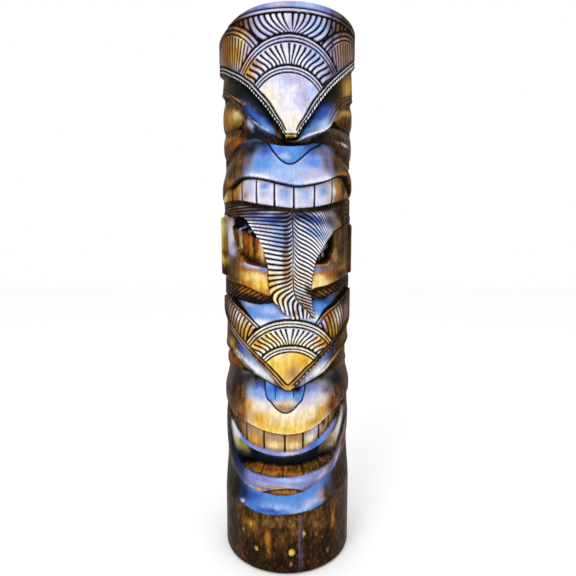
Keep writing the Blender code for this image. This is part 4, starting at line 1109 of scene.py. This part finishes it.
def wood_paint(turn, rise):
    """Linear colours all over the log, before the grooves' ink."""
    off = [far * (noise(turn, rise, *layer) - 0.5) for far, layer in zip(WAVER, WAVER_NOISES)]
    wavered = (turn + off[0], rise + off[1])
    paint = painted(SHIELD_1_PAINT, *wavered)

    def under(points):
        return step(-above(points, turn, rise))

    def inside(circle, reach):
        """1 inside a scallop's outermost line by at least this reach, in units."""
        return step(circle[2] - reach - from_centre(circle, turn, rise))

    def put(recipe, where):
        nonlocal paint
        paint = mix(paint, painted(recipe, *wavered), where[..., None])

    put(BAND_TOP_PAINT, step(rise - RING_RISE - 4))
    # Painted highlight: the upper brow's beads are tinted white, weaker on the left
    beads = step(10 - above(BROW_1, turn, rise)) * step(70 - np.abs(turn), 30)
    paint = tinted(paint, WHITE, beads * mix(0.6, 1.0, step(turn - 3)))
    put(WEDGE_1_PAINT, inside(INNER_SCALLOP_1, 14))
    put(EYES_1_PAINT, under(BROW_1))
    # Painted shadow: a near-black frame about the upper shield's tip, with a yellow patch inside it
    tip_across = TIP[2] - np.abs(turn - TIP[0])
    tip_up = TIP[3] - np.abs(rise - TIP[1])
    paint = tinted(paint, INK_AND_SHADOW, step(tip_across, 1) * step(tip_up, 1))
    paint = tinted(paint, YELLOW, step(tip_across - 2.6, 1) * step(tip_up - 3.4, 1))
    put(MUZZLE_1_PAINT, under(MUZZLE_TOP_1))
    put(NOSE_1_PAINT, under(MUZZLE_TOP_1) * step(above(NOSE_1, turn, rise)))
    put(TEETH_1_PAINT, under(MUZZLE_LOW_1))
    mouth = under(TEETH_LOW_1)
    put(MOUTH_1_PAINT, mouth)
    put(BEARD_PAINT, under(LIP_LOW_1))
    in_hollow = step(hollows(turn, rise) - 2) * mouth
    put(HOLLOW_PAINT, in_hollow * step(rise - 555))
    # Painted shadow: the upper part of each mouth hollow is covered with near-black
    above_shadow = rise - 0.7 * (-44 - turn) - mix(623.0, 620.0, eased(-50, -40, turn))
    paint = tinted(paint, INK_AND_SHADOW, step(above_shadow, 4) * in_hollow)
    paint = stroked(paint, HOLLOW_GLINTS, turn, rise)
    shield = under(BEARD_LOW)
    put(CROWN_2_PAINT, shield)
    put(WING_2_PAINT, shield * under(WING_2))
    in_scallop = inside(SCALLOP_2, -1) * shield
    put(FAN_2_PAINT, in_scallop)
    put(WEDGE_2_PAINT, inside(INNER_SCALLOP_2, 10) * in_scallop)
    put(BORDER_2_PAINT, step(12.5 - above(BROW_2, turn, rise)) * shield)
    leaf = step(on_tongue(turn, rise)) * mouth
    put(TONGUE_PAINT, leaf)
    put(MIDRIB_PAINT, leaf * step(1.6 - np.abs(right_of(TONGUE_MIDRIB, turn, rise))))
    put(GUM_PAINT, mouth * step(above(TEETH_LOW_1, turn, rise) + 9, 6) * eased(64, 52, np.abs(turn)))
    put(EYES_2_PAINT, under(BROW_2))
    put(MUZZLE_2_PAINT, under(MUZZLE_TOP_2))
    put(NOSE_2_PAINT, under(MUZZLE_TOP_2) * step(above_nose_2(turn, rise)))
    put(TEETH_2_PAINT, under(MUZZLE_LOW_2))
    put(RING_2_PAINT, under(TEETH_LOW_2))
    put(MOUTH_2_PAINT, under(RING_LOW_2))
    put(LOWER_TEETH_PAINT, under(LOWER_TEETH_TOP) * step(60 - np.abs(turn)))
    put(LIP_2_PAINT, under(LIP_TOP_2))
    put(CHIN_PAINT, under(LIP_TOP_2) * under(CHIN_ARC))
    paint = mix(paint, stroked(paint, CORNER_STROKES, *wavered), under(TEETH_LOW_2)[..., None])
    put(NECK_PAINT, under(LIP_LOW_2))
    put(BASE_PAINT, under(NECK_LOW))
    for at_turn, at_rise, wide, high, colour in FLECKS:
        reach = np.hypot((turn - at_turn) / wide, (rise - at_rise) / high)
        paint = tinted(paint, colour, eased(1.1, 0.6, reach))
    return tinted(paint, BACK_PAINT, eased(*BACK_GROUND, np.abs(turn)))


def sampled(values, turns, rises, turn, rise):
    """The grid's values at other places, straight between the nearest four."""
    turn = (turn - turns[0]) % 360 + turns[0]
    column = np.interp(turn, np.append(turns, turns[0] + 360), np.arange(len(turns) + 1))
    return blended(values, column, np.interp(rise, rises, np.arange(len(rises))))


def standing_out(cut, turns, rises, reach):
    """How far each place of the grid stands out of what lies around it, in units, negative in a hollow."""
    turn, rise = np.meshgrid(turns, rises)
    total = 0
    for away in (-reach, -reach / 2, reach / 2, reach):
        total = total + sampled(cut, turns, rises, turn + away / AROUND, rise)
        total = total + sampled(cut, turns, rises, turn, rise + away)
    return total / 8 - cut


def steepness(cut, turns, rises):
    """How steeply the depth changes at each place of the grid."""
    down, across = np.gradient(cut, rises, turns * AROUND)
    return np.hypot(down, across)


def finish_colours(totem, turns, rises, cut, ink):
    """Stores the paint, with its painted shade and highlight, and the wax's roughness on the mesh's points.
    """
    mesh = totem.data
    places = np.empty(len(mesh.vertices) * 3)
    mesh.vertices.foreach_get("co", places)
    x, y, z = places.reshape(-1, 3).T
    turn = np.degrees(np.arctan2(x, -y))
    rise = z / UNIT

    def at_points(values):
        return sampled(values, turns, rises, turn, rise)

    ink = at_points(ink)
    fine = at_points(standing_out(cut, turns, rises, FINE_REACH))
    broad = at_points(standing_out(cut, turns, rises, BROAD_REACH))
    walls = at_points(steepness(cut, turns, rises))
    # Painted shade in hollows and on steep walls
    shade = (1 - HOLLOW_SHADE * eased(0.1, 1.6, -fine)) * (1 - DEEP_SHADE * eased(0.6, 6, -broad))
    shade = shade * (1 - WALL_SHADE * eased(1.8, 3.6, walls))
    paint = wood_paint(turn, rise) * (shade * PAINT_SHARE)[..., None]
    bare = np.clip(1.3 * (paint[:, 0] - paint[:, 2]) / (paint[:, 0] + 0.01), 0, 1)
    deep = bare * (1 - eased(0.06, 0.32, paint[:, 0]))
    figure = sum(share * noise(turn, rise, *layer) for share, *layer in FIGURE_NOISES)
    figure = eased(0.28, 0.72, figure)
    contrast = mix(mix(*PAINTED_FIGURE, figure), mix(*BARE_FIGURE, figure), bare)
    contrast = mix(contrast, mix(*DEEP_FIGURE, figure), deep)
    grit = eased(0.55, 0.9, noise(turn, rise, *GRIT_NOISE))
    paint = tinted(paint, AMBER, GRIT_SHARE * grit * deep)
    tint = 0.3 * (noise(turn, rise, *TINT_NOISE) - 0.5) * (1 - bare)
    warmth = np.stack([1 + tint, 1 + 0.6 * tint, 1 + 0 * tint], axis=-1)
    # Partly patina and partly painted shade on the sides
    side = 1 - SIDE_SHADE * eased(*SIDE_TURNS, np.abs(turn)) * (0.5 + 0.5 * bare)
    paint = paint * warmth * (contrast * side * (1 + EDGE_WEAR_AND_HIGHLIGHT * eased(0.2, 1.2, fine)))[..., None]
    paint = tinted(paint, INK_AND_SHADOW, np.clip(1.7 * ink - 0.08, 0, 1))
    cap = (np.hypot(x, y) < BASE_RADIUS * 0.94) & ((rise < 0.5) | (rise > TOP - 0.5))
    paint[cap] = linear(BROWN)
    colours = np.concatenate([np.clip(paint, 0, 1), deep[:, None]], axis=1)
    layer = mesh.color_attributes.new("paint", "FLOAT_COLOR", "POINT")
    layer.data.foreach_set("color", colours.ravel())
    wax = np.clip(WAX_ROUGHNESS + 0.3 * ink + 0.2 * (noise(turn, rise, *WAX_NOISE) - 0.5), 0, 1)
    layer = mesh.attributes.new("roughness", "FLOAT", "POINT")
    layer.data.foreach_set("value", wax)


# How much of the grain shows through light paint, and on bare dark wood
GRAIN_SHARE = (0.4, 2.2)
# Grain and speckle: how fine along x, y and z, how detailed, and the noise and brightness from dark to light
GRAIN = ((420, 420, 90), 4, (0.3, 0.7), (0.74, 1.2))
SPECKLE = ((420, 420, 420), 3, (0.35, 0.65), (0.78, 1.22))
WAX_SPECULAR = 0.03
BUMP_STRENGTH = 0.35
BUMP_DEPTH = 0.0005


def node(tree, kind, inputs, **settings):
    """A shader node, with each of its inputs set to a plain value or linked to another node's output."""
    made = tree.nodes.new("ShaderNode" + kind)
    for name, value in settings.items():
        setattr(made, name, value)
    for place, value in inputs.items():
        if isinstance(value, bpy.types.NodeSocket):
            tree.links.new(value, made.inputs[place])
        else:
            made.inputs[place].default_value = value
    return made.outputs


def brightness(tree, scale, detail, noise_range, bright_range):
    """Noise stretched along each axis of the object, as a factor for the colour."""
    coords = node(tree, "TexCoord", {})["Object"]
    coords = node(tree, "Mapping", {"Vector": coords, "Scale": scale})["Vector"]
    value = node(tree, "TexNoise", {"Vector": coords, "Scale": 1.0, "Detail": detail})["Fac"]
    ranges = {"From Min": noise_range[0], "From Max": noise_range[1], "To Min": bright_range[0],
              "To Max": bright_range[1]}
    return node(tree, "MapRange", {"Value": value, **ranges})["Result"]


def worked_out(tree, operation, *values):
    return node(tree, "Math", dict(enumerate(values)), operation=operation)["Value"]


def wood_material():
    material = bpy.data.materials.new("stained_wood")
    material.use_nodes = True
    tree = material.node_tree
    paint = node(tree, "VertexColor", {}, layer_name="paint")
    both = worked_out(tree, "MULTIPLY", brightness(tree, *GRAIN), brightness(tree, *SPECKLE))
    offset = worked_out(tree, "SUBTRACT", both, 1.0)
    share = worked_out(tree, "MULTIPLY_ADD", paint["Alpha"], GRAIN_SHARE[1] - GRAIN_SHARE[0], GRAIN_SHARE[0])
    grained = worked_out(tree, "MULTIPLY_ADD", offset, share, 1.0)
    colour = node(tree, "VectorMath", {"Vector": paint["Color"], "Scale": grained}, operation="SCALE")
    wax = node(tree, "Attribute", {}, attribute_name="roughness")
    bump = node(tree, "Bump", {"Height": both, "Strength": BUMP_STRENGTH, "Distance": BUMP_DEPTH})
    shader = tree.nodes["Principled BSDF"]
    shader.inputs["Specular IOR Level"].default_value = WAX_SPECULAR
    tree.links.new(colour["Vector"], shader.inputs["Base Color"])
    tree.links.new(wax["Fac"], shader.inputs["Roughness"])
    tree.links.new(bump["Normal"], shader.inputs["Normal"])
    return material


def plain_material(name, colour, roughness):
    material = bpy.data.materials.new(name)
    material.use_nodes = True
    shader = material.node_tree.nodes["Principled BSDF"]
    shader.inputs["Base Color"].default_value = (*colour, 1.0)
    shader.inputs["Roughness"].default_value = roughness
    return material


# The studio, in metres, degrees and watts
FLOOR_SIDE = 12.0
FLOOR_COLOUR = (0.97, 0.97, 0.97)
FLOOR_ROUGHNESS = 0.9
FLOOR_DROP = 0.0002
WORLD_STRENGTH = 1.0
# Lights: name, place, width and height, and power
LIGHTS = (("key", (-0.9, -1.6, 1.9), (1.0, 1.4), 22), ("fill", (1.3, -1.4, 0.9), (1.0, 1.4), 7))
LIGHTS_AIM = (0, 0, 0.5)
CAMERA_DISTANCE = 0.895
CAMERA_HEIGHT = 0.595
CAMERA_SIDE = 0.0018
CAMERA_PITCH = 4.95
FOCAL_SHARE = 447.3 / 576
SENSOR = 36.0


def area_light(name, place, size, power):
    data = bpy.data.lights.new(name, "AREA")
    data.energy = power
    data.shape = "RECTANGLE"
    data.size, data.size_y = size
    light = bpy.data.objects.new(name, data)
    light.location = place
    direction = np.array(LIGHTS_AIM) - np.array(place)
    yaw = math.atan2(-direction[0], direction[1])
    pitch = math.atan2(math.hypot(direction[0], direction[1]), -direction[2])
    light.rotation_euler = (pitch, 0, yaw)
    bpy.context.scene.collection.objects.link(light)


def make_studio():
    mesh = bpy.data.meshes.new("floor")
    half = FLOOR_SIDE / 2
    corners = [(-half, -half, 0), (half, -half, 0), (half, half, 0), (-half, half, 0)]
    mesh.from_pydata(corners, [], [(0, 1, 2, 3)])
    floor = bpy.data.objects.new("floor", mesh)
    floor.location.z = -FLOOR_DROP
    mesh.materials.append(plain_material("floor_paint", FLOOR_COLOUR, FLOOR_ROUGHNESS))
    bpy.context.scene.collection.objects.link(floor)
    world = bpy.data.worlds.new("studio")
    world.use_nodes = True
    background = world.node_tree.nodes["Background"]
    background.inputs["Color"].default_value = (1.0, 1.0, 1.0, 1.0)
    background.inputs["Strength"].default_value = WORLD_STRENGTH
    bpy.context.scene.world = world
    for light in LIGHTS:
        area_light(*light)


def make_camera():
    data = bpy.data.cameras.new("camera")
    data.sensor_width = SENSOR
    data.lens = FOCAL_SHARE * SENSOR
    camera = bpy.data.objects.new("camera", data)
    camera.location = (CAMERA_SIDE, -CAMERA_DISTANCE, CAMERA_HEIGHT)
    camera.rotation_euler = (math.radians(90 - CAMERA_PITCH), 0, 0)
    bpy.context.scene.collection.objects.link(camera)
    bpy.context.scene.camera = camera


def main():
    turns, rises = grid()
    cut, ink = carve_log(turns, rises)
    totem = make_totem(turns, rises, cut)
    finish_colours(totem, turns, rises, cut, ink)
    totem.data.materials.append(wood_material())
    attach(totem, "root")
    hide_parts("totem")
    make_studio()
    make_camera()
    bpy.context.scene.view_settings.view_transform = "Standard"


main()
